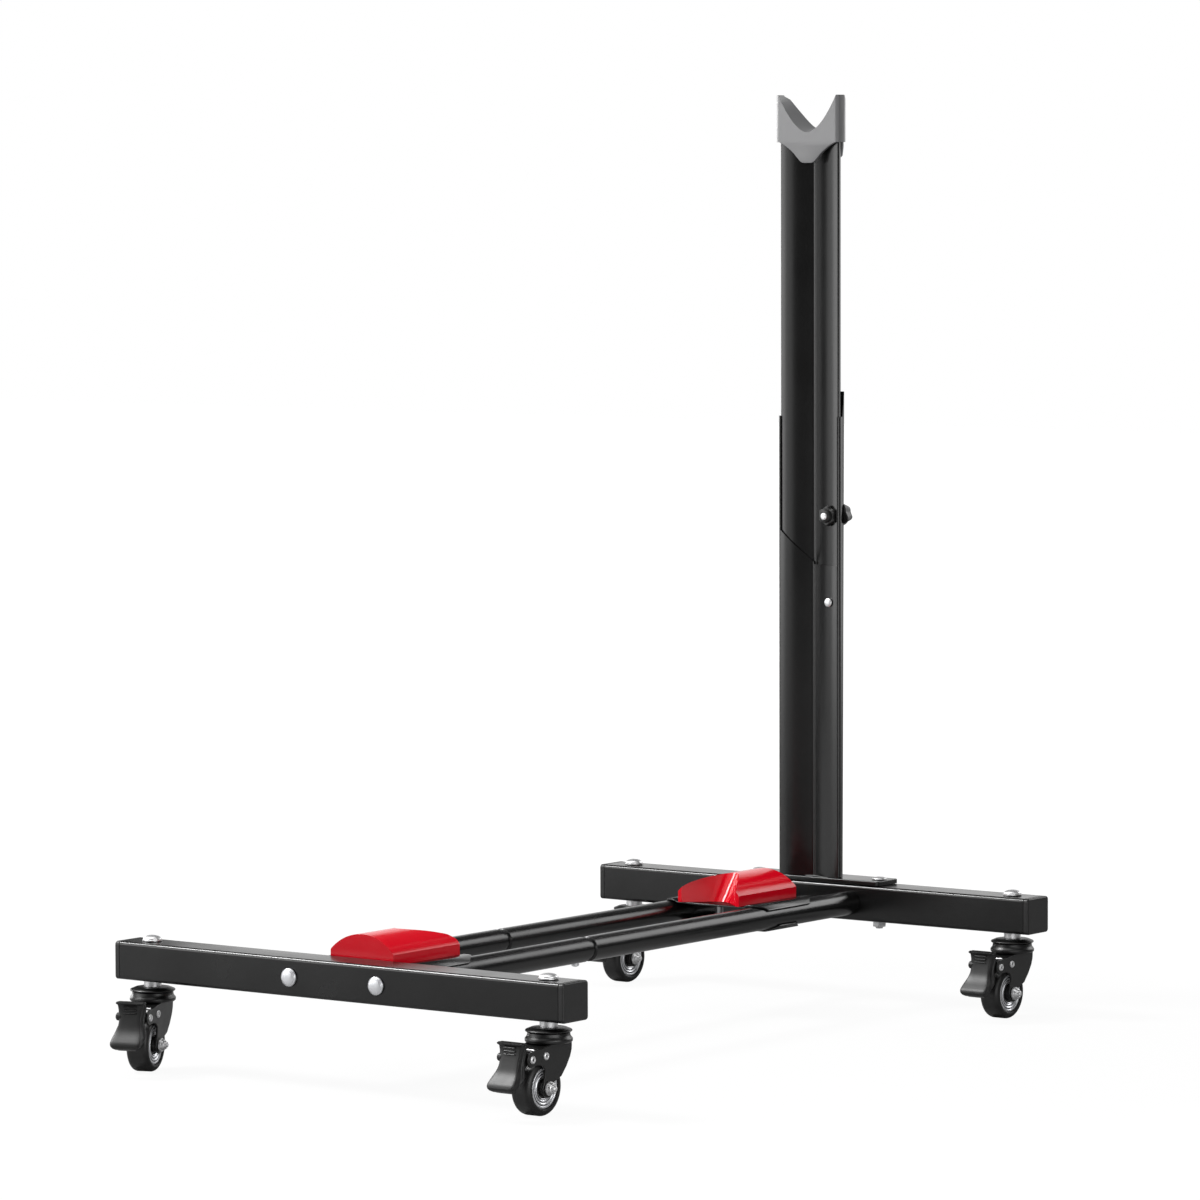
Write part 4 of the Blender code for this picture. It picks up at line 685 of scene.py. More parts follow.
# Long tubes
class RACK_OT_tubes(Operator):
    """Build the long tubes, their snap buttons and the bolts through the crossbars"""

    bl_idname = "rack.tubes"
    bl_label = "Tubes"

    def execute(self, context):
        sizes = context.scene.rack_frame
        for word, side in SIDES:
            x = side * TUBE_X
            at_button = placed(x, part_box(f"snap_button_{word}")[0][1] + BUTTON_FLANGE, BAR_Z)
            self.make_long_tubes(sizes, word, x, at_button)
            self.make_button(sizes, word, at_button)
            self.make_bolt(f"front_tube_bolt_{word}", x, "front", "-Y")
            self.make_bolt(f"rear_tube_bolt_{word}", x, "rear", "+Y")
        return {"FINISHED"}

    def make_long_tubes(self, sizes, word, x, at_button):
        r, neck, wall, ease = TUBE_RADIUS, sizes.neck_radius, sizes.tube_wall, 0.0004
        low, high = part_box(f"front_tube_{word}")
        span = high[1] - low[1]
        front = [(r - ease, 0), (r, ease), (r, span - ease), (r - ease, span), (r - wall, span), (r - wall, 0)]
        rear_low, rear_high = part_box(f"rear_tube_{word}")
        start = high[1] + NECK_SHOWN
        span, tip = rear_high[1] - start, rear_low[1] - start
        rear = [
            (r - ease, span), (r, span - ease), (r, 0.0012), (r - 0.0003, 0.0004), (neck + 0.0003, -0.0001),
            (neck, -0.0005), (neck, tip), (neck - wall, tip), (neck - wall, 0.001), (r - wall, 0.003),
            (r - wall, span),
        ]
        for end, profile, base in (("front", front, low[1]), ("rear", rear, start)):
            tube = lathe(profile, 64, True, placed(x, base, BAR_Z, "+Y"))
            hole = rod(sizes.button_radius + GAP, -2 * r, 0, place=at_button)
            piece(f"{end}_long_tube_{word}", carve(tube, [hole]), f"{end}_tube_{word}", angle=50)

    def make_button(self, sizes, word, at_button):
        node = f"snap_button_{word}"
        low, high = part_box(node)
        radius = sizes.button_radius
        crown, root = low[2] - BAR_Z - BUTTON_PROUD, high[2] - BAR_Z
        profile = dome(radius, crown + radius / 2, -radius / 2) + [(radius, root - 0.0016)]
        profile += mm((5.3, -1.2), (5.3, -0.4), (0, -0.4), h=root)
        leaf = slab(eased(mm((-4, 0), (4, 0), (4, 21.5), (-4, 21.5)), 0.002), root - 0.0009, root)
        whole = joined(lathe(profile, 40), soften(leaf, 0.0002, 1))
        whole.transform(at_button)
        piece(f"snap_pin_{word}", whole, node, finishes=("turned",))

    def make_bolt(self, node, x, end, facing):
        low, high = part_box(node)
        grip, head, tall, shank = BAR_DEPTH / 2 + GAP, (high[0] - low[0]) / 2, 0.0045, 0.004
        profile = dome(head * 0.86, grip, tall, 0.62, 10, 0.8)
        rim = ((0.95, 0.52), (1, 0.36), (1, 0.10), (0.94, 0))
        profile += [(head * part, grip + tall * rise) for part, rise in rim]
        tip = grip - (high[1] - low[1]) + tall
        profile += [(shank, grip), (shank, tip + 0.001), (0.003, tip), (0, tip)]
        bolt = lathe(profile, place=placed(x, BAR_Y[end], BAR_Z, facing))
        piece(node.replace("_bolt_", "_screw_"), bolt, node, finishes=("turned",))


# Post base
class RACK_OT_post_base(Operator):
    """Build the plate under the post and its two bolts"""

    bl_idname = "rack.post_base"
    bl_label = "Post base"

    def execute(self, context):
        sizes = context.scene.rack_frame
        low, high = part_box("post_base_plate")
        outline = rounded_rectangle(high[0] - low[0], high[1] - low[1], 0.004, 6)
        plate = soften(slab(outline, low[2], high[2]), 0.0009, 3, 60)
        plate.transform(Matrix.Translation((0, BAR_Y["rear"], 0)))
        piece("post_foot_plate", plate, "post_base_plate")
        for word, _ in SIDES:
            self.make_bolt(sizes, f"post_base_bolt_{word}")
        return {"FINISHED"}

    def make_bolt(self, sizes, node):
        seat, nut_top, washer_sheet = PLATE_TOP + GAP, BAR_UNDERSIDE - GAP, 0.0012
        tip, nut_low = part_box(node)[0][2], nut_top - 0.0065
        shank = dome(0.00752, seat, 0.003, 0.3) + mm((8, 0.6), (7.6, 0), (4, 0), h=seat) + [(0.004, nut_low)]
        shank += [(r, nut_low + tip - h) for r, h in thread(0.004, tip + 0.0004, nut_low)]
        shank += [(0.0028, tip), (0, tip)]
        ring = mm((4.2, 0), (7.9, 0), (8.2, -0.6), (7.9, -1.2), (4.2, -1.2), h=nut_top)
        nut = hex_nut(sizes.nut_width, nut_low, nut_top - washer_sheet)
        bolt = joined(lathe(shank, 40), lathe(ring, 40, True), nut)
        bolt.transform(placed(middle_of(node).x, BAR_Y["rear"], 0))
        piece(node.replace("_bolt_", "_screw_"), bolt, node, angle=30)


# Posts
def drawn_back(sizes, x):
    """How far a post's front face is drawn back at a distance from its middle."""
    half = sizes.width / 2 - sizes.corner
    depth = 0.0
    if abs(x) < half:
        depth = sizes.trough * (1 - sin(pi / 2 * abs(x) / half))
    if abs(x) < sizes.bead_half:
        depth -= sizes.bead * cos(pi / 2 * x / sizes.bead_half) ** 2
    return depth


def post_path(sizes, half, front, back, corner, lip=0.0):
    """A post's wall seen from above, from its left rear end round the front to its right rear end."""
    reach = half - corner
    bead = [sizes.bead_half * i / 5 for i in range(6)]
    wave = [sizes.bead_half + (reach - sizes.bead_half) * i / 20 for i in range(1, 21)]
    right = [(x, front + drawn_back(sizes, x)) for x in bead + wave]
    right += arc((half - corner, front + corner), corner, -90, 0, 6)[1:]
    side_end = back - corner if lip else back
    rear = half - sizes.side_slope * (side_end - front - corner)
    if lip:
        right += arc((rear - corner, side_end), corner, 0, 90, 6)
        right.append((lip, back))
    else:
        right.append((rear, back))
    left = [(-x, y) for x, y in reversed(right[1:])]
    return left + right


class RACK_OT_posts(Operator):
    """Build the two posts, which slide in one another, and the stop bolt"""

    bl_idname = "rack.posts"
    bl_label = "Posts"

    def execute(self, context):
        sizes = context.scene.rack_post
        self.make_lower(sizes)
        self.make_upper(sizes)
        self.make_stop_bolt()
        return {"FINISHED"}

    def window(self, sizes, side, above):
        wide = sizes.width / 2 - sizes.strip
        front = POST_LOW.y
        bend = front + sizes.corner
        deep = front + sizes.trough + sizes.sheet + GAP
        narrow = wide - sizes.side_slope * (deep - bend)
        before = front - sizes.depth
        outline = [
            (-side * GAP, before), (side * wide, before), (side * wide, bend), (side * narrow, deep), (-side * GAP, deep),
        ]
        cutter = slab(outline, sizes.edge_right, above)
        slant = sizes.edge_slant / wide
        for vert in cutter.verts:
            if side < 0 and vert.co.z < above - GAP:
                vert.co.z += sizes.edge_step - slant * vert.co.x
        return cutter

    def make_lower(self, sizes):
        half = sizes.width / 2
        front, back = POST_LOW.y, POST_HIGH.y
        lip = half - sizes.lip
        outer = post_path(sizes, half, front, back, sizes.corner, lip)
        inner = post_path(
            sizes, half - sizes.sheet, front + sizes.sheet, back - sizes.sheet, sizes.corner - sizes.sheet, lip
        )
        top = POST_HIGH.z
        side_top = top - sizes.tab
        post = slab(outer + inner[::-1], POST_LOW.z, top)
        above = top + sizes.depth
        lips_front = back - sizes.sheet - GAP
        behind = back + sizes.depth
        clamp = JOINTS["clamp_knob_turn"]["pos_m"]
        travel = JOINTS["post_height"]["range_m"]
        radius = 0.0037 + GAP
        slot = arc((clamp[0], clamp[2] + travel[1]), radius, 0, 180, 16)
        slot += arc((clamp[0], clamp[2] + travel[0]), radius, 180, 360, 16)
        stop = middle_of("post_stop_bolt")
        at_stop = placed(stop.x, front, stop.z, "+Y")
        cutters = [
            self.window(sizes, -1, above),
            self.window(sizes, 1, above),
            block((-sizes.width, front - sizes.depth, side_top), (sizes.width, lips_front, above)),
            block((-sizes.width, front, side_top), (0, behind, above)),
            slab(slot, lips_front - sizes.sheet, behind, "Y"),
            rod(0.003 + GAP, -sizes.depth, 2 * sizes.depth, 24, at_stop),
        ]
        foot, ease = POST_LOW.z, 0.004  # rounding of the foot's corners
        corner = arc((half - ease, foot + ease), ease, -90, 0, 8)
        corner += [(half + GAP, foot + ease), (half + ease, foot - ease), (half - ease, foot - ease)]
        for side in (-1, 1):
            cutters.append(slab([(side * u, w) for u, w in corner], front - sizes.depth, behind, "Y"))
        post = carve(post, cutters)
        for vert in post.verts:
            if vert.co.z > side_top + GAP:
                vert.co.y += sizes.tab_lean * (vert.co.z - side_top) / sizes.tab
        obj = piece("lower_channel_post", post, "lower_post", finishes=("post",), angle=40)
        rounded_by_modifier(obj, 0.0003, 2, 50)

    def make_upper(self, sizes):
        half = sizes.width / 2 - sizes.sheet - sizes.slide_gap
        corner = sizes.corner - sizes.sheet
        front = POST_LOW.y + sizes.sheet + sizes.slide_gap
        back = POST_HIGH.y - sizes.sheet - 2 * sizes.slide_gap
        outer = post_path(sizes, half, front, back, corner)
        inner = post_path(sizes, half - sizes.sheet, front + sizes.sheet, back, corner / 3)
        post = slab(outer + inner[::-1], UPPER_LOW.z, UPPER_HIGH.z)
        clamp = JOINTS["clamp_knob_turn"]["pos_m"]
        hole = rod(0.004, -sizes.depth, sizes.depth, place=placed(clamp[0], front, clamp[2], "+Y"))
        obj = piece("upper_channel_post", carve(post, [hole]), "upper_post", finishes=("post",), angle=40)
        rounded_by_modifier(obj, 0.0003, 2, 50)

    def make_stop_bolt(self):
        low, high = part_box("post_stop_bolt")
        middle, radius, head = middle_of("post_stop_bolt"), (high[0] - low[0]) / 2, 0.0022
        seat = head + 0.0015 - (high[1] - low[1])
        profile = dome(radius, 0, head, 0.3)
        profile += [(radius * 0.95, 0), (0.003, 0), (0.003, seat), (radius * 0.95, seat), (radius, seat - 0.0003)]
        profile += [(radius, seat - 0.0010), (radius * 0.9, seat - 0.0015), (0, seat - 0.0015)]
        place = placed(middle.x, low[1] + head, middle.z, "-Y")
        piece("post_stop_rivet", lathe(profile, 40, place=place), "post_stop_bolt")


# Clamp of the upper post
def lobed(radius, end_radius, height, lobes, depth, sides):
    """A knob along Z with its wide end at Z = 0 and lobes round its rim."""
    bm = bmesh.new()
    bmesh.ops.create_cone(bm, cap_ends=True, segments=sides, radius1=radius, radius2=end_radius, depth=height)
    for vert in bm.verts:
        turn = atan2(vert.co.y, vert.co.x)
        draw_in = 1 - depth * (1 - cos(lobes * (turn - pi / 2))) / 2
        vert.co.x *= draw_in
        vert.co.y *= draw_in
        vert.co.z += height / 2
    return bm


class RACK_OT_clamp(Operator):
    """Build the clamp that holds the upper post: star nut, bolt and knob"""

    bl_idname = "rack.clamp"
    bl_label = "Post clamp"

    def execute(self, context):
        x, _, z = JOINTS["clamp_knob_turn"]["pos_m"]
        nut_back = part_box("clamp_star_nut")[1][1]
        nut_place = placed(x, nut_back, z, "-Y")
        star = soften(lobed(0.0114, 0.0102, 0.0050, 6, 0.16, 96), 0.0011, 3, 50)
        hub = lathe(mm((0, 3), (7.6, 3), (7, 6.8), (6.4, 8.4), (5.6, 9.2), (0, 9.4)), 40)
        star = carve(star, [rod(0.004, -0.01, 0.03)], [hub])
        star.transform(nut_place)
        piece("clamp_star_grip", star, "clamp_star_nut", angle=45)

        low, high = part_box("clamp_knob")
        knob = soften(lobed(0.0155, 0.0100, high[1] - low[1], 5, 0.18, 100), 0.0016, 4, 45)
        knob.transform(placed(x, low[1], z, "+Y"))
        piece("clamp_hand_knob", knob, "clamp_knob", angle=45)

        low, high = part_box("clamp_bolt")
        tip, back, radius = nut_back - low[1], nut_back - high[1], 0.0037
        profile = [(0, tip), (0.0022, tip), (0.0030, tip - 0.0006)]
        profile += [(r, tip - 0.0006 - h) for r, h in thread(radius, 0.0, 0.0075)]
        profile += [(radius, tip - 0.0085), (radius, back), (0, back)]
        piece("clamp_screw", lathe(profile, 40, place=nut_place), "clamp_bolt", angle=30)
        return {"FINISHED"}


# Wheel cradle
class RACK_OT_cradle(Operator):
    """Build the forked cradle that holds the wheel's upper part"""

    bl_idname = "rack.cradle"
    bl_label = "Wheel cradle"

    def execute(self, context):
        post, sizes = context.scene.rack_post, context.scene.rack_cradle
        half = post.width / 2 - post.sheet - post.slide_gap
        post_front = POST_LOW.y + post.sheet + post.slide_gap
        post_back = POST_HIGH.y - post.sheet - 2 * post.slide_gap
        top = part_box("wheel_cradle")[1][2]
        ceiling = top - sizes.notch_front - sizes.floor
        shoulder = ceiling - sizes.socket
        wide = sizes.half_width
        front = post_front - sizes.overhang
        back = post_back + sizes.rear_overhang
        bend = front + sizes.straight
        narrow = wide - post.side_slope * (back - bend)
        across, deep = sizes.edge * 1.3, sizes.edge * 0.6
        plan = [
            (-wide, front + deep), (-wide + across, front), (wide - across, front), (wide, front + deep),
            (wide, bend), (narrow, back), (-narrow, back), (-wide, bend),
        ]
        body = slab(plan, shoulder, top)

        def upright(edge):
            return abs(edge.verts[0].co.z - edge.verts[1].co.z) > top - ceiling

        soften(body, 0.0004, 2, 10, upright)
        overlap = 0.004
        inset = wide - across
        tip_z = shoulder - sizes.tongue_drop
        tongue_half = mm((0, 0), (8, -3.5), h=shoulder)
        tongue_half = [(-inset, shoulder + overlap)] + [(u - inset, w) for u, w in tongue_half]
        tongue_half += [(-sizes.tongue_bend_width / 2, shoulder - sizes.tongue_bend_drop)]
        tongue_half += [(-sizes.tongue_tip_width / 2, tip_z)]
        tongue = slab(eased(mirrored(tongue_half), 0.004, 5), front, post_front - GAP, "Y")
        soften(tongue, 0.0007, 2, 60)
        tail_top = narrow - 0.002
        tail_outline = [
            (-sizes.tail_half, shoulder - sizes.tail_drop), (sizes.tail_half, shoulder - sizes.tail_drop),
            (tail_top, shoulder - 0.004), (tail_top, shoulder + overlap),
            (-tail_top, shoulder + overlap), (-tail_top, shoulder - 0.004),
        ]
        tail = slab(eased(tail_outline, 0.003), post_back + 2 * GAP, back - GAP, "Y")
        for vert in tail.verts:
            vert.co.y += max(0, shoulder - vert.co.z) * 0.12
        soften(tail, 0.0006, 2, 60)
        corner = post.corner - post.sheet + GAP
        socket = post_path(post, half + GAP, post_front - GAP, post_back + GAP, corner)
        cutters = [slab(socket, tip_z - overlap, ceiling), self.notch(sizes, front, back, top)]
        obj = piece("grey_wheel_cradle", carve(body, cutters, [tongue, tail]), "wheel_cradle", angle=30)
        rounded_by_modifier(obj, sizes.rim, 2, 38)
        return {"FINISHED"}

    def notch(self, sizes, front, back, top):
        """The wheel notch: a deep round valley in front that opens to a plain V at the rear."""
        beyond = 0.002
        steps = 28
        loops = []
        front_half = sizes.half_width - sizes.prong_tip
        for y, half, depth, power, valley in (
            (front, front_half, sizes.notch_front, 1.8, 0.0), (back, sizes.half_width, sizes.notch_rear, 1.0, 0.16)
        ):
            loop = [(-half, y, top + beyond)]
            for i in range(steps + 1):
                t = 2 * i / steps - 1
                part = (sqrt(t**2 + valley**2) - valley) / (sqrt(1 + valley**2) - valley)
                loop.append((t * half, y, top - depth * (1 - part**power)))
            loops.append([Vector(point) for point in loop + [(half, y, top + beyond)]])
        growth = beyond / (back - front)
        near = [a + (a - b) * growth for a, b in zip(*loops)]
        far = [b + (b - a) * growth for a, b in zip(*loops)]
        return lofted(near, far)


# Chocks
def chock_frame(end, box):
    """Matrix from a chock's own frame, tips at Y = 0 and body at -Y, to its place."""
    low, high = box
    if end == "front":
        return Matrix.Translation((0, high[1], low[2]))
    return Matrix.Translation((0, low[1], low[2])) @ Matrix.Rotation(pi, 4, "Z")


class RACK_OT_chocks(Operator):
    """Build the two red wheel chocks with the plates and bolts that clamp them"""

    bl_idname = "rack.chocks"
    bl_label = "Wheel chocks"

    def execute(self, context):
        sizes = context.scene.rack_chock
        nut_width = context.scene.rack_frame.nut_width
        for end in ENDS:
            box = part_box(f"{end}_chock")
            width = box[1][0] - box[0][0]
            long = box[1][1] - box[0][1]
            rise = box[1][2] - box[0][2]
            place = chock_frame(end, box)
            self.make_body(sizes, end, width, long, rise, place)
            self.make_plates(sizes, end, width, long, place)
            self.make_bolts(sizes, end, nut_width)
        return {"FINISHED"}

    def make_body(self, sizes, end, width, long, rise, place):
        half = width / 2
        ledge = half - sizes.ledge
        arch = rise - sizes.side
        radius = (ledge**2 + arch**2) / (2 * arch)
        spread = degrees(asin(ledge / radius))
        roof = arc((0, rise - radius), radius, 90 - spread, 90 + spread, 28)
        below_ledge = sizes.side - 1.4 * sizes.ledge
        outline = [(-half, 0), (half, 0), (half, below_ledge)] + roof + [(-half, below_ledge)]
        body = slab(outline, -long, 0, "Y")
        for vert in body.verts:
            if vert.co.y < -long / 2:
                vert.co.y += sizes.end_lean * max(0, vert.co.z - sizes.side) / (rise - sizes.side)
        below = 0.002
        growth = sizes.notch_lean / rise
        low_loop = self.notch_loop(sizes, half, width, sizes.notch_depth - growth * below)
        deep = sizes.notch_depth + sizes.notch_lean + growth * below
        high_loop = self.notch_loop(sizes, half, width, deep)
        levels = ((low_loop, -below), (high_loop, rise + below))
        notch = lofted(*[[(u, v, z) for u, v in loop] for loop, z in levels])
        body = carve(body, [notch])
        bmesh.ops.dissolve_limit(body, angle_limit=radians(0.5), verts=body.verts, edges=body.edges)
        body.transform(place)
        obj = piece(f"{end}_red_chock", body, f"{end}_chock", angle=12)
        rounded_by_modifier(obj, sizes.edge, 1, 50)

    def notch_loop(self, sizes, half, clear, depth):
        """The wheel notch in plan, as seen from its tips: a V with a rounded valley."""
        notch_half = half - sizes.tip
        slope = depth / notch_half
        valley = []
        for i in range(25):
            part = -1 + i / 12
            sag = slope * sizes.notch_round * (1 + part**2) / 2
            valley.append((part * sizes.notch_round, -(depth - sag)))
        return [(-notch_half, 0)] + valley + [(notch_half, 0), (notch_half, clear), (-notch_half, clear)]

    def make_plates(self, sizes, end, width, long, place):
        near, far = -long - 0.002, -0.003
        chock_bottom = place.translation.z
        web = chock_bottom - GAP - sizes.sheet / 2
        on_tube = self.wrap(sizes, 1, near, far)
        bend = width / 2 + 0.003
        saddle = [(0, web, near, far), (bend, web, near, far), (bend + 0.005, on_tube[0][1], near, far)] + on_tube
        self.make_plate(sizes, end, "saddle", saddle, place)
        half = 0.0305
        bolts = -sizes.bolt_setback
        under = self.wrap(sizes, -1, bolts - half, bolts + half)
        clamp = [(0, under[0][1], bolts - half, bolts + half)] + under
        self.make_plate(sizes, end, "clamp", clamp, place)

    def wrap(self, sizes, sign, near, far):
        """Stations of a sheet on a tube's top (sign 1) or bottom (-1) that turns down its outer side."""
        radius = TUBE_RADIUS + GAP + sizes.sheet / 2
        stations = []
        for i in range(11):
            angle = sizes.wrap * i / 10
            cut_back = sizes.wrap_cut * (0.5 - 0.5 * cos(pi * i / 10))
            x, z = TUBE_X + radius * sin(angle), BAR_Z + sign * radius * cos(angle)
            stations.append((x, z, near + cut_back, far - cut_back))
        return stations

    def make_plate(self, sizes, end, kind, stations, place):
        bm = bmesh.new()
        rows = [(bm.verts.new((x, near, z)), bm.verts.new((x, far, z))) for x, z, near, far in stations]
        for (near_a, far_a), (near_b, far_b) in zip(rows, rows[1:]):
            bm.faces.new((near_a, near_b, far_b, far_a))
        bmesh.ops.mirror(bm, geom=bm.verts[:] + bm.edges[:] + bm.faces[:], axis="X", merge_dist=1e-5)
        bmesh.ops.remove_doubles(bm, verts=bm.verts, dist=1e-6)
        bmesh.ops.recalc_face_normals(bm, faces=bm.faces)
        bm.transform(Matrix.Translation((0, place.translation.y, 0)) @ place.to_3x3().to_4x4())
        obj = piece(f"{end}_{kind}_sheet", bm, f"{end}_{kind}_plate", angle=40)
        solidify = obj.modifiers.new("sheet", "SOLIDIFY")
        solidify.thickness = sizes.sheet
        solidify.offset = 0
        solidify.use_even_offset = True
        rounded_by_modifier(obj, 0.0004, 2, 60)

    def make_bolts(self, sizes, end, nut_width):
        for word, _ in SIDES:
            node = f"{end}_clamp_bolt_{word}"
            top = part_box(node)[1][2]
            middle = middle_of(node)
            nut_high = BAR_Z - TUBE_RADIUS - 2 * GAP - sizes.sheet
            nut_low = nut_high - 0.0036
            tip = nut_low - 0.0006
            shank = [(0, tip), (0.0028, tip), (0.0038, tip + 0.0004)]
            shank += [(0.004, nut_low), (0.004, top), (0, top)]
            nut = hex_nut(nut_width, nut_low, nut_high)
            bolt = joined(lathe(shank, 36), nut)
            bolt.transform(Matrix.Translation((middle.x, middle.y, 0)))
            piece(node.replace("_bolt_", "_stud_"), bolt, node, angle=30)


# Casters
class CasterPlace:
    """Where one caster stands: its stem's axis, its swivel and its axle's height."""

    def __init__(self, where):
        stem = middle_of(f"caster_stem_{where}")
        spin = JOINTS[f"wheel_spin_{where}"]
        turn = atan2(spin["axis"][1], spin["axis"][0])
        self.where = where
        self.matrix = Matrix.Translation((stem.x, stem.y, 0)) @ Matrix.Rotation(turn, 4, "Z")
        self.axle_z = spin["pos_m"][2]
        self.stem_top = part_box(f"caster_stem_{where}")[1][2]


class RACK_OT_casters(Operator):
    """Build the four swivelling casters with their brake pedals"""

    bl_idname = "rack.casters"
    bl_label = "Casters"

    def execute(self, context):
        sizes = context.scene.rack_caster
        for where in CORNERS:
            caster = CasterPlace(where)
            self.make_stem(sizes, caster)
            self.make_fork(sizes, caster)
            self.make_axle(sizes, caster)
            self.make_wheel(sizes, caster)
            self.make_pedal(sizes, caster)
        return {"FINISHED"}

    def put(self, caster, name, bm, node, **looks):
        bm.transform(caster.matrix)
        return piece(f"{name}_{caster.where}", bm, f"{node}_{caster.where}", **looks)

    def make_stem(self, sizes, caster):
        """Stem with a domed nut above the bar, a plated collar and the black bearing race."""
        seat, collar_top = BAR_TOP + GAP, BAR_UNDERSIDE - GAP
        profile = dome(0.0092, seat, 0.006, 0.34, 10) + mm((10, 1.5), (10, 0.5), (9.4, 0), (5, 0), h=seat)
        profile += mm((5, 0), (8.4, 0), (8.75, -0.5), h=collar_top)
        profile += mm((8.75, 0.2), (7.2, -0.2), (7.2, -2), (0, -2), h=RACE_TOP)
        plated = lathe(profile)
        rim = ((-2, -1.6), (-0.5, -2.2), (0, -2.9), (-0.2, -3.7), (-1.2, -4.4), (-3, -4.5))
        ring = mm((7.4, 0), (15, 0), (17.6, -0.4), h=RACE_TOP) + mm(*rim, r=sizes.race_radius, h=RACE_TOP)
        race = lathe(ring + [(0.0074, RACE_TOP - RACE_HEIGHT)], 64, True)
        under = CROWN_TOP - CROWN_HEIGHT - GAP
        rivet = lathe(mm((0, 0), (7.2, 0), (8, -0.6), (7.6, -2), (6, -2.5), (0, -2.5), h=under), 36)
        black = range(len(plated.faces), len(plated.faces) + len(race.faces))
        whole = joined(plated, race, rivet)
        whole.faces.ensure_lookup_table()
        for face in whole.faces:
            face.material_index = int(face.index in black)
        self.put(caster, "caster_stem_and_race", whole, "caster_stem", finishes=("zinc", "ecoat"))

    def make_fork(self, sizes, caster):
        """Pressed fork: a round crown over a hood, two side plates and the rivets of the brake."""
        bottom = CROWN_TOP - CROWN_HEIGHT
        edge, waist = sizes.crown_radius - 0.0008, 0.0205
        profile = [(0.0053, CROWN_TOP)]
        profile += mm((-1.2, 0), (-0.2, -0.4), (0, -1.2), (0.1, -2.4), (0.7, -3.8), r=waist, h=CROWN_TOP)
        profile += mm((-0.7, -5), (-0.1, -6), (0, -7), r=edge, h=CROWN_TOP)
        profile += mm((-0.3, 1), (-1.4, 0), (-3, -0.2), r=edge, h=bottom) + mm((5.3, -0.2), h=bottom)
        crown = lathe(profile, 64, True)
        outer = sizes.fork_inner + sizes.fork_sheet
        plates = []
        for side in (-1, 1):
            near, far = sorted((side * sizes.fork_inner, side * outer))
            plate = slab(self.fork_outline(sizes, caster), near, far, "X")

            def outward(edge):
                return all(abs(vert.co.x - side * outer) < 1e-5 for vert in edge.verts)

            plates.append(soften(plate, 0.0008, 3, 50, outward))
        hood = mm((-32.2, 65), (-8.3, 68.4), (12, 69), (16, 69), (17, 64))
        hood += mm((15.8, 62.4), (16, 67.4), (12, 67.4), (-8.3, 66.8), (-32.2, 63.4))
        plates.append(slab(hood, -sizes.fork_inner - GAP, sizes.fork_inner + GAP, "X"))
        axle_hole = rod(0.0033, -0.03, 0.03, place=placed(0, -sizes.wheel_trail, caster.axle_z, "+X"))
        steel = carve(crown, [axle_hole], plates)
        steel_faces = len(steel.faces)
        details = []
        flange = ((1.4, 1), (1.9, 1.5), (2.9, 1.5), (3.6, 0.9), (3.8, 0.1), (3.6, -0.4), (1.4, -0.4))
        for y, z in self.pins(sizes, caster):
            details += [lathe(mm(*flange, h=outer), 32, True, placed(0, y, z, facing)) for facing in ("-X", "+X")]
            details.append(rod(0.0014, -outer + 0.0002, outer - 0.0002, 24, placed(0, y, z, "+X")))
        pivot = self.pins(sizes, caster)[0]
        spring = rod(0.0013, sizes.fork_inner * 0.35, outer - 0.0008, 20)
        spring.transform(placed(0, pivot[0] + 0.0035, pivot[1] + 0.0082, "+X"))
        details.append(soften(spring, 0.0005, 2, 60))
        whole = joined(steel, *details)
        whole.faces.ensure_lookup_table()
        for face in whole.faces:
            face.material_index = int(face.index >= steel_faces)
        self.put(caster, "caster_pressed_fork", whole, "caster_fork", finishes=("ecoat", "zinc"), angle=35)

    def pins(self, sizes, caster):
        pivot = (-sizes.wheel_trail - sizes.pivot_reach, caster.axle_z + sizes.pivot_rise)
        return (pivot, (-sizes.wheel_trail - 0.004, caster.axle_z + 0.0312))

    def fork_outline(self, sizes, caster):
        """A side plate in (Y, Z): crown, tapering leg, axle boss and brake arm."""
        back = mm((16.8, 70), (17, 64), (16.6, 60), (14.2, 53.6), (8.3, 44.8), (0.5, 36.2))
        boss = arc((-sizes.wheel_trail, caster.axle_z), 0.0088, 30, -212, 20)
        front = mm((-26.8, 34.6), (-25.2, 40), (-25.4, 45), (-28.5, 48.6), (-33, 50.2), (-38.5, 50.6))
        arm = arc(self.pins(sizes, caster)[0], 0.0075, 262, 95, 10)
        arm += mm((-41.7, 64.7), (-32.2, 65.6), (-8.3, 69), (13, 70))
        return back + boss + front + arm

    def make_axle(self, sizes, caster):
        """Axle bolt with a flanged nut at +X and a flat head at -X."""
        out = sizes.fork_inner + sizes.fork_sheet + GAP
        nut = (
            (0, 8.5), (1.6, 8.4), (2.2, 7.8), (2.3, 6.8), (3, 7.2), (3.5, 7), (3.8, 6.2), (4, 5.2), (4.6, 5.4),
            (5.2, 4.8), (5.6, 3), (6, 2.4), (6.6, 2.2), (6.9, 1.4), (6.8, 0.4), (6.4, 0), (3, 0),
        )
        head = ((3, 0), (5.5, 0), (5.8, -0.4), (5.8, -2.6), (5, -3.4), (2.4, -3.5), (2, -2.2), (0, -2.2))
        profile = mm(*nut, h=out) + mm(*head, h=-out)
        place = placed(0, -sizes.wheel_trail, caster.axle_z, "+X")
        self.put(caster, "caster_axle_bolt", lathe(profile, 48, place=place), "caster_axle", angle=30)

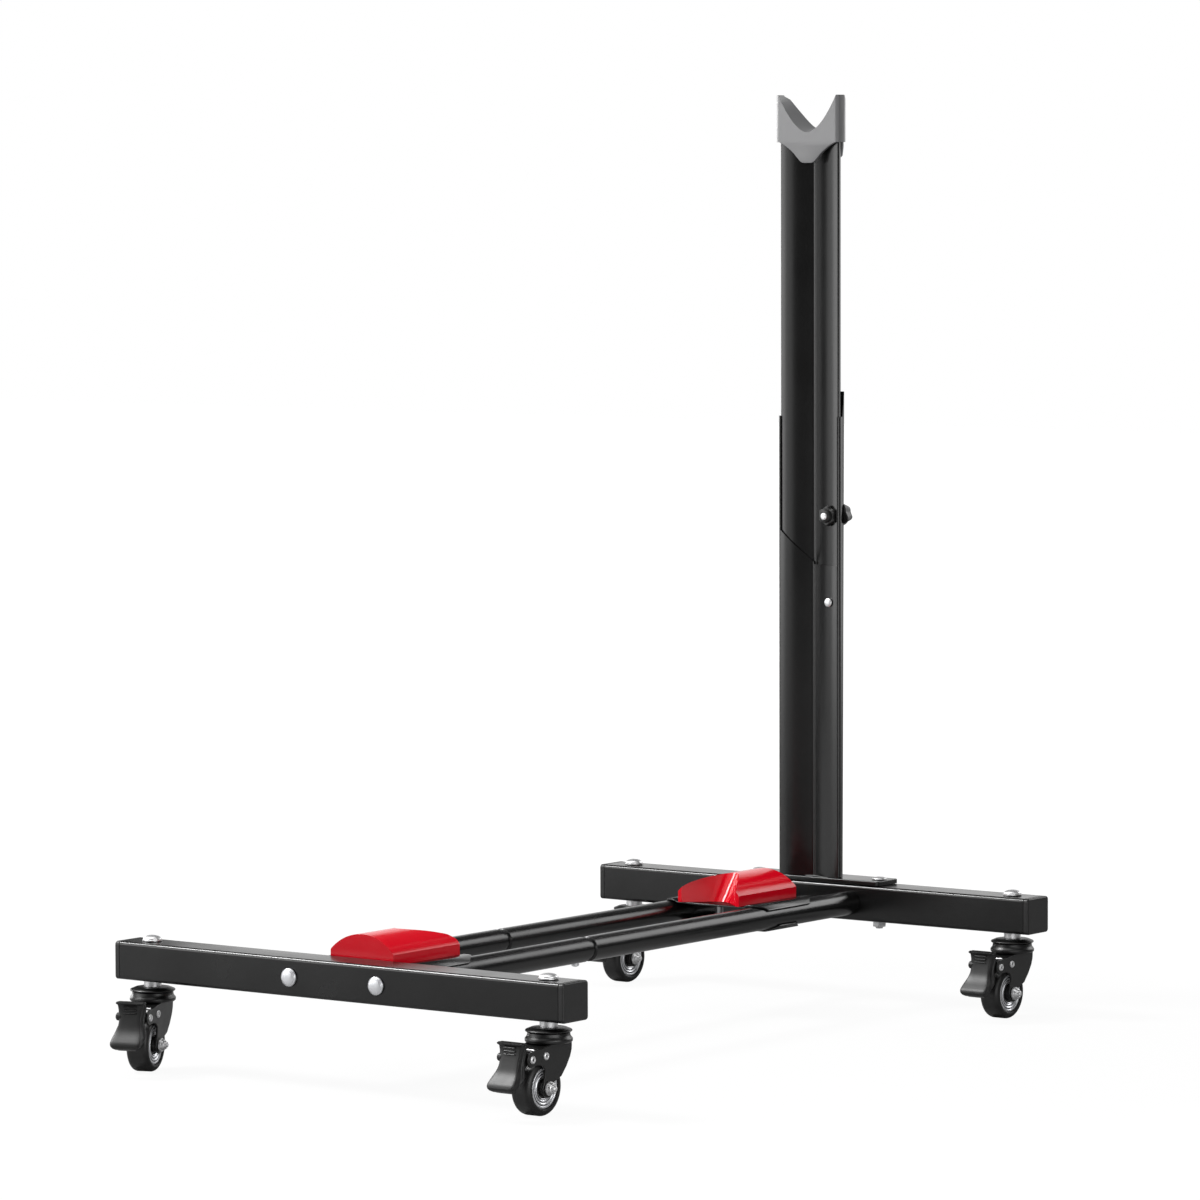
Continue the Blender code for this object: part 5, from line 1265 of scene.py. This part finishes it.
    def make_wheel(self, sizes, caster):
        at_axle = placed(0, -sizes.wheel_trail, caster.axle_z, "+X")
        outer, half, shoulder = caster.axle_z, sizes.tyre_half, 0.0052
        side = mm((0, -1.2), (0.8, -0.2), (2.2, 0), r=HUB_RADIUS + GAP, h=half)
        side += arc((outer - shoulder, half - shoulder), shoulder, 90, 0, 8)
        side += [(outer, half - shoulder - 0.002)]
        tyre = lathe(side + [(r, -h) for r, h in reversed(side)], 96, True, at_axle)
        self.put(caster, "caster_tread", tyre, "caster_tyre", angle=40)

        rings = mm((3.3, 12.6), (6.8, 12.6), (7.4, 11.8)) + mm(
            (7.6, -2.2), (9.6, -2.4), (10, -1.2), (10.6, -0.9), (11.1, -1.6), (11.6, -1), (12.4, -0.6),
            (13.1, -1.2), (13.7, -2), (14.2, -0.8), (15.2, -0.1), (16.3, -0.4), (16.7, -1.4), (17.2, -0.4),
            (17.8, 0), (19, -0.1), h=half - 0.0012,
        ) + [(HUB_RADIUS, half - 0.0018)]
        cover_and_painted_groove_shade = ((0, 9.8), (10.75, 11.2), (13.25, 13.9), (16.4, 16.9))  # the black centre cover, and painted shade in the grooves, by their radii in mm
        hub = lathe(rings + [(r, -h) for r, h in reversed(rings)], 80, True)
        # Faces on the hub's sides within these radii get the black plastic: the real black cover at the centre,
        # and painted shade in the three grooves between the plated rings.
        for item in hub.faces:
            centre = item.calc_center_median()
            spot = 1000 * sqrt(centre.x**2 + centre.y**2)
            dark = any(low < spot < high for low, high in cover_and_painted_groove_shade)
            item.material_index = int(dark and abs(centre.z) > 0.005)
        hub.transform(at_axle)
        self.put(caster, "caster_hub_rings", hub, "caster_hub", finishes=("turned", "plastic"), angle=30)

    def make_pedal(self, sizes, caster):
        """Moulded brake pedal: a dished front with flared flanges, a lip at the top, ribs and two arms."""
        # Rows of the front from the top lip down: height over the pivot, front, half width,
        # flank depth and flare of the rim, in millimetres.
        rows = (
            (16.6, -54.8, 13.8, 0.2, 0.0), (16.9, -58.0, 14.4, 0.2, 0.0), (16.5, -61.8, 14.9, 0.3, 0.0),
            (15.5, -62.5, 14.8, 0.5, 0.0), (14.4, -61.2, 13.8, 2.6, 0.3), (12.0, -60.6, 13.2, 4.4, 1.2),
            (7.0, -60.9, 12.5, 4.8, 1.6), (2.0, -61.8, 11.8, 4.8, 1.6), (-3.0, -63.2, 11.6, 5.0, 1.8),
            (-8.0, -65.4, 12.3, 5.8, 2.2), (-13.0, -68.8, 13.8, 7.0, 2.4), (-16.8, -72.2, 15.0, 8.0, 2.0),
            (-20.0, -75.2, 15.6, 8.4, 1.0), (-22.2, -76.9, 15.7, 8.0, 0.4), (-24.4, -77.7, 15.1, 7.4, 0.1),
            (-26.4, -77.2, 13.9, 6.4, 0.0), (-28.0, -75.2, 12.2, 4.6, 0.0), (-29.0, -71.8, 10.8, 2.0, 0.0),
            (-28.8, -67.0, 10.2, 0.4, 0.0),
        )
        bend = 1.4
        across = ((0, 0), (0.5, 0.02), (0.84, 0.08), (0.94, 0.3), (0.99, 0.75))
        flange = ((0, 0.35), (0.15, 0.7), (0.6, 0.9), (1, 1))
        bm = bmesh.new()
        grid = []
        for rise, front, half, flank, flare in rows:
            line = [(half * u, front + bend * v) for u, v in across]
            line += [(half + flare * u, front + bend + flank * v) for u, v in flange]
            points = [(-x, y) for x, y in reversed(line[1:])] + line
            grid.append([bm.verts.new((x / 1000, y / 1000, rise / 1000)) for x, y in points])
        for upper, lower in zip(grid, grid[1:]):
            for a, b, c, d in zip(upper, upper[1:], lower[1:], lower):
                bm.faces.new((a, b, c, d))
        bmesh.ops.recalc_face_normals(bm, faces=bm.faces)
        middle = Vector((0, -0.062, 0))
        middle_face = min(bm.faces, key=lambda face: (face.calc_center_median() - middle).length)
        if middle_face.normal.y > 0:
            bmesh.ops.reverse_faces(bm, faces=bm.faces)
        bmesh.ops.solidify(bm, geom=bm.faces[:], thickness=sizes.pedal_sheet)
        bmesh.ops.subdivide_edges(bm, edges=bm.edges[:], cuts=1, use_grid_fill=True, smooth=0.9)
        core_line = mm(
            (-58, 16), (-54, 16.4), (-50.5, 12), (-47.5, 5.8), (-44, 4.9), (-41, 2.8), (-40.2, -0.5),
            (-41.8, -3.7), (-46.6, -5), (-53, -9.8), (-55, -13.5), (-56, -19), (-61, -25), (-68, -27), (-73, -25),
            (-70, -19), (-65.5, -13), (-62.5, -8), (-60, 0), (-59, 8),
        )
        core = slab(eased(core_line, 0.002, 3), -0.0112, 0.0112, "X")
        soften(core, 0.0012, 3, 50)
        shells = [bm, core]
        for rise in (0.0124, 0.0092, 0.0060):
            rib = block((-0.0070, -0.0622, rise - 0.0009), (0.0070, -0.0595, rise + 0.0009))
            shells.append(soften(rib, 0.0008, 1, 50))
        bump = [(0, 0.01), (0.004, 0.01)] + dome(0.004, 0.0138, 0.0022, steps=6)[::-1]
        shells.append(lathe(bump, 32, place=placed(0, -0.058, 0.0022, "-X")))
        pedal = joined(*shells)
        pedal.transform(placed(0, 0, self.pins(sizes, caster)[0][1]))
        self.put(caster, "caster_foot_pedal", pedal, "caster_brake", finishes=("pedal",), angle=50)


# Stage
class RACK_OT_stage(Operator):
    """Build the floor, the light and the camera"""

    bl_idname = "rack.stage"
    bl_label = "Stage"

    def execute(self, context):
        sizes = context.scene.rack_stage
        scene = context.scene
        scene.view_settings.view_transform = "Standard"
        self.make_floor(sizes)
        self.make_world(scene, sizes)
        self.add_light("key_softbox", sizes.key_light, (-2.2, -1.1, 2.9), (0, 0, 0.3), 0.9, 0.9)
        self.add_light("top_softbox", sizes.top_light, (-0.2, -0.6, 3.2), (0, -0.1, 0.1), 2.4, 2.4)
        self.add_light("right_softbox", sizes.right_light, (3.0, -0.6, 2.6), (0, 0, 0.3), 1.9, 1.9)
        self.add_light("left_screen", sizes.left_light, (-1.62, -1.78, 0.80), (0, 0.42, 0.80), 1.2, 1.36)
        self.add_light("front_wall", sizes.left_light * 0.4, (-1.70, -1.88, 0.84), (0, 0.42, 0.84), 3.6, 1.44)
        self.add_light("right_strip", sizes.strip_light * 0.05, (3.3, -1.05, 0.9), (0, 0, 0.9), 1.0, 1.7)
        self.add_light("left_strip", sizes.strip_light, (-3.0, 0.6, 0.9), (0, 0.42, 0.9), 0.6, 1.7)
        self.add_light("back_wall", sizes.back_light, (-0.6, 3.4, 0.9), (0, 0, 0.9), 5.0, 1.7)
        self.add_light("tube_screen", sizes.tube_light, (1.7, 4.8, 2.6), (0, 0, 0.1), 2.8, 2.2)
        self.add_light("chock_fill", sizes.chock_light * 0.25, (1.15, -0.75, 0.36), (0, 0, 0.12), 1.0, 0.6)
        camera = bpy.data.cameras.new("camera")
        camera.lens = sizes.lens
        camera.sensor_width = 36
        camera.clip_end = 100
        holder = bpy.data.objects.new("camera", camera)
        scene.collection.objects.link(holder)
        turn = Euler((pi / 2 - sizes.camera_tilt, 0, sizes.camera_pan)).to_matrix()
        turn = turn @ Matrix.Rotation(sizes.camera_roll, 3, "Z")
        holder.matrix_world = Matrix.Translation(sizes.camera_place) @ turn.to_4x4()
        scene.camera = holder
        return {"FINISHED"}

    def make_floor(self, sizes):
        bm = bmesh.new()
        bmesh.ops.create_grid(bm, x_segments=8, y_segments=8, size=12)
        mesh = bpy.data.meshes.new("studio_floor")
        bm.to_mesh(mesh)
        bm.free()
        material = bpy.data.materials.new("matt_studio_board")
        material.use_nodes = True
        tree = material.node_tree
        tree.nodes.clear()
        board = add_node(tree, "ShaderNodeBsdfDiffuse", {"Color": (*sizes.floor_colour, 1)})
        white = add_node(tree, "ShaderNodeEmission", {"Color": (1, 1, 1, 1), "Strength": 1.10})
        path = add_node(tree, "ShaderNodeLightPath")
        # The camera sees the board nearly white: a trace of the rack's shadow stays,
        # and fades out 2 m away.
        place = add_node(tree, "ShaderNodeTexCoord").outputs["Object"]
        away = add_node(tree, "ShaderNodeVectorMath", None, {0: place}, operation="LENGTH")
        fade = add_node(
            tree, "ShaderNodeMapRange",
            {"From Min": 0.7, "From Max": 2.0, "To Min": 0.85, "To Max": 1.0}, {"Value": away.outputs["Value"]},
        )
        to_camera = path.outputs["Is Camera Ray"]
        seen = add_node(tree, "ShaderNodeMath", None, {0: to_camera, 1: fade.outputs[0]}, operation="MULTIPLY")
        shaders = {0: seen.outputs[0], 1: board.outputs[0], 2: white.outputs[0]}
        mix = add_node(tree, "ShaderNodeMixShader", None, shaders)
        add_node(tree, "ShaderNodeOutputMaterial", None, {"Surface": mix.outputs[0]})
        mesh.materials.append(material)
        floor = bpy.data.objects.new("studio_floor", mesh)
        bpy.context.scene.collection.objects.link(floor)

    def make_world(self, scene, sizes):
        world = bpy.data.worlds.new("studio")
        scene.world = world
        world.use_nodes = True
        tree = world.node_tree
        tree.nodes.clear()
        path = add_node(tree, "ShaderNodeLightPath")
        fill = add_node(tree, "ShaderNodeBackground", {"Color": (1, 1, 1, 1), "Strength": sizes.fill})
        white = add_node(tree, "ShaderNodeBackground", {"Color": (1, 1, 1, 1), "Strength": 1.0})
        mix = add_node(
            tree, "ShaderNodeMixShader", None,
            {0: path.outputs["Is Camera Ray"], 1: fill.outputs[0], 2: white.outputs[0]},
        )
        add_node(tree, "ShaderNodeOutputWorld", None, {"Surface": mix.outputs[0]})

    def add_light(self, name, brightness, place, target, wide, tall):
        light = bpy.data.lights.new(name, "AREA")
        light.shape = "RECTANGLE"
        light.size = wide
        light.size_y = tall
        light.energy = brightness * pi * wide * tall
        obj = bpy.data.objects.new(name, light)
        bpy.context.scene.collection.objects.link(obj)
        look = (Vector(target) - Vector(place)).to_track_quat("-Z", "Y")
        obj.matrix_world = Matrix.Translation(place) @ look.to_matrix().to_4x4()
        obj.visible_camera = False


STEPS = (
    RACK_OT_crossbars,
    RACK_OT_tubes,
    RACK_OT_post_base,
    RACK_OT_posts,
    RACK_OT_clamp,
    RACK_OT_cradle,
    RACK_OT_chocks,
    RACK_OT_casters,
    RACK_OT_stage,
)


class RACK_PT_steps(Panel):
    """Lists the steps that build the rack"""

    bl_idname = "RACK_PT_steps"
    bl_label = "Bicycle rack"
    bl_space_type = "VIEW_3D"
    bl_region_type = "UI"
    bl_category = "Rack"

    def draw(self, context):
        for step in STEPS:
            self.layout.operator(step.bl_idname)


def register():
    for kind in (*SETTINGS.values(), *STEPS, RACK_PT_steps):
        bpy.utils.register_class(kind)
    for name, kind in SETTINGS.items():
        setattr(bpy.types.Scene, name, PointerProperty(type=kind))


def unregister():
    for name in SETTINGS:
        delattr(bpy.types.Scene, name)
    for kind in reversed((*SETTINGS.values(), *STEPS, RACK_PT_steps)):
        bpy.utils.unregister_class(kind)


def main():
    register()
    for step in STEPS:
        name = step.bl_idname.split(".")[1]
        if getattr(bpy.ops.rack, name)() != {"FINISHED"}:
            raise RuntimeError(f"{step.bl_label} wasn't finished")


if __name__ == "__main__":
    main()
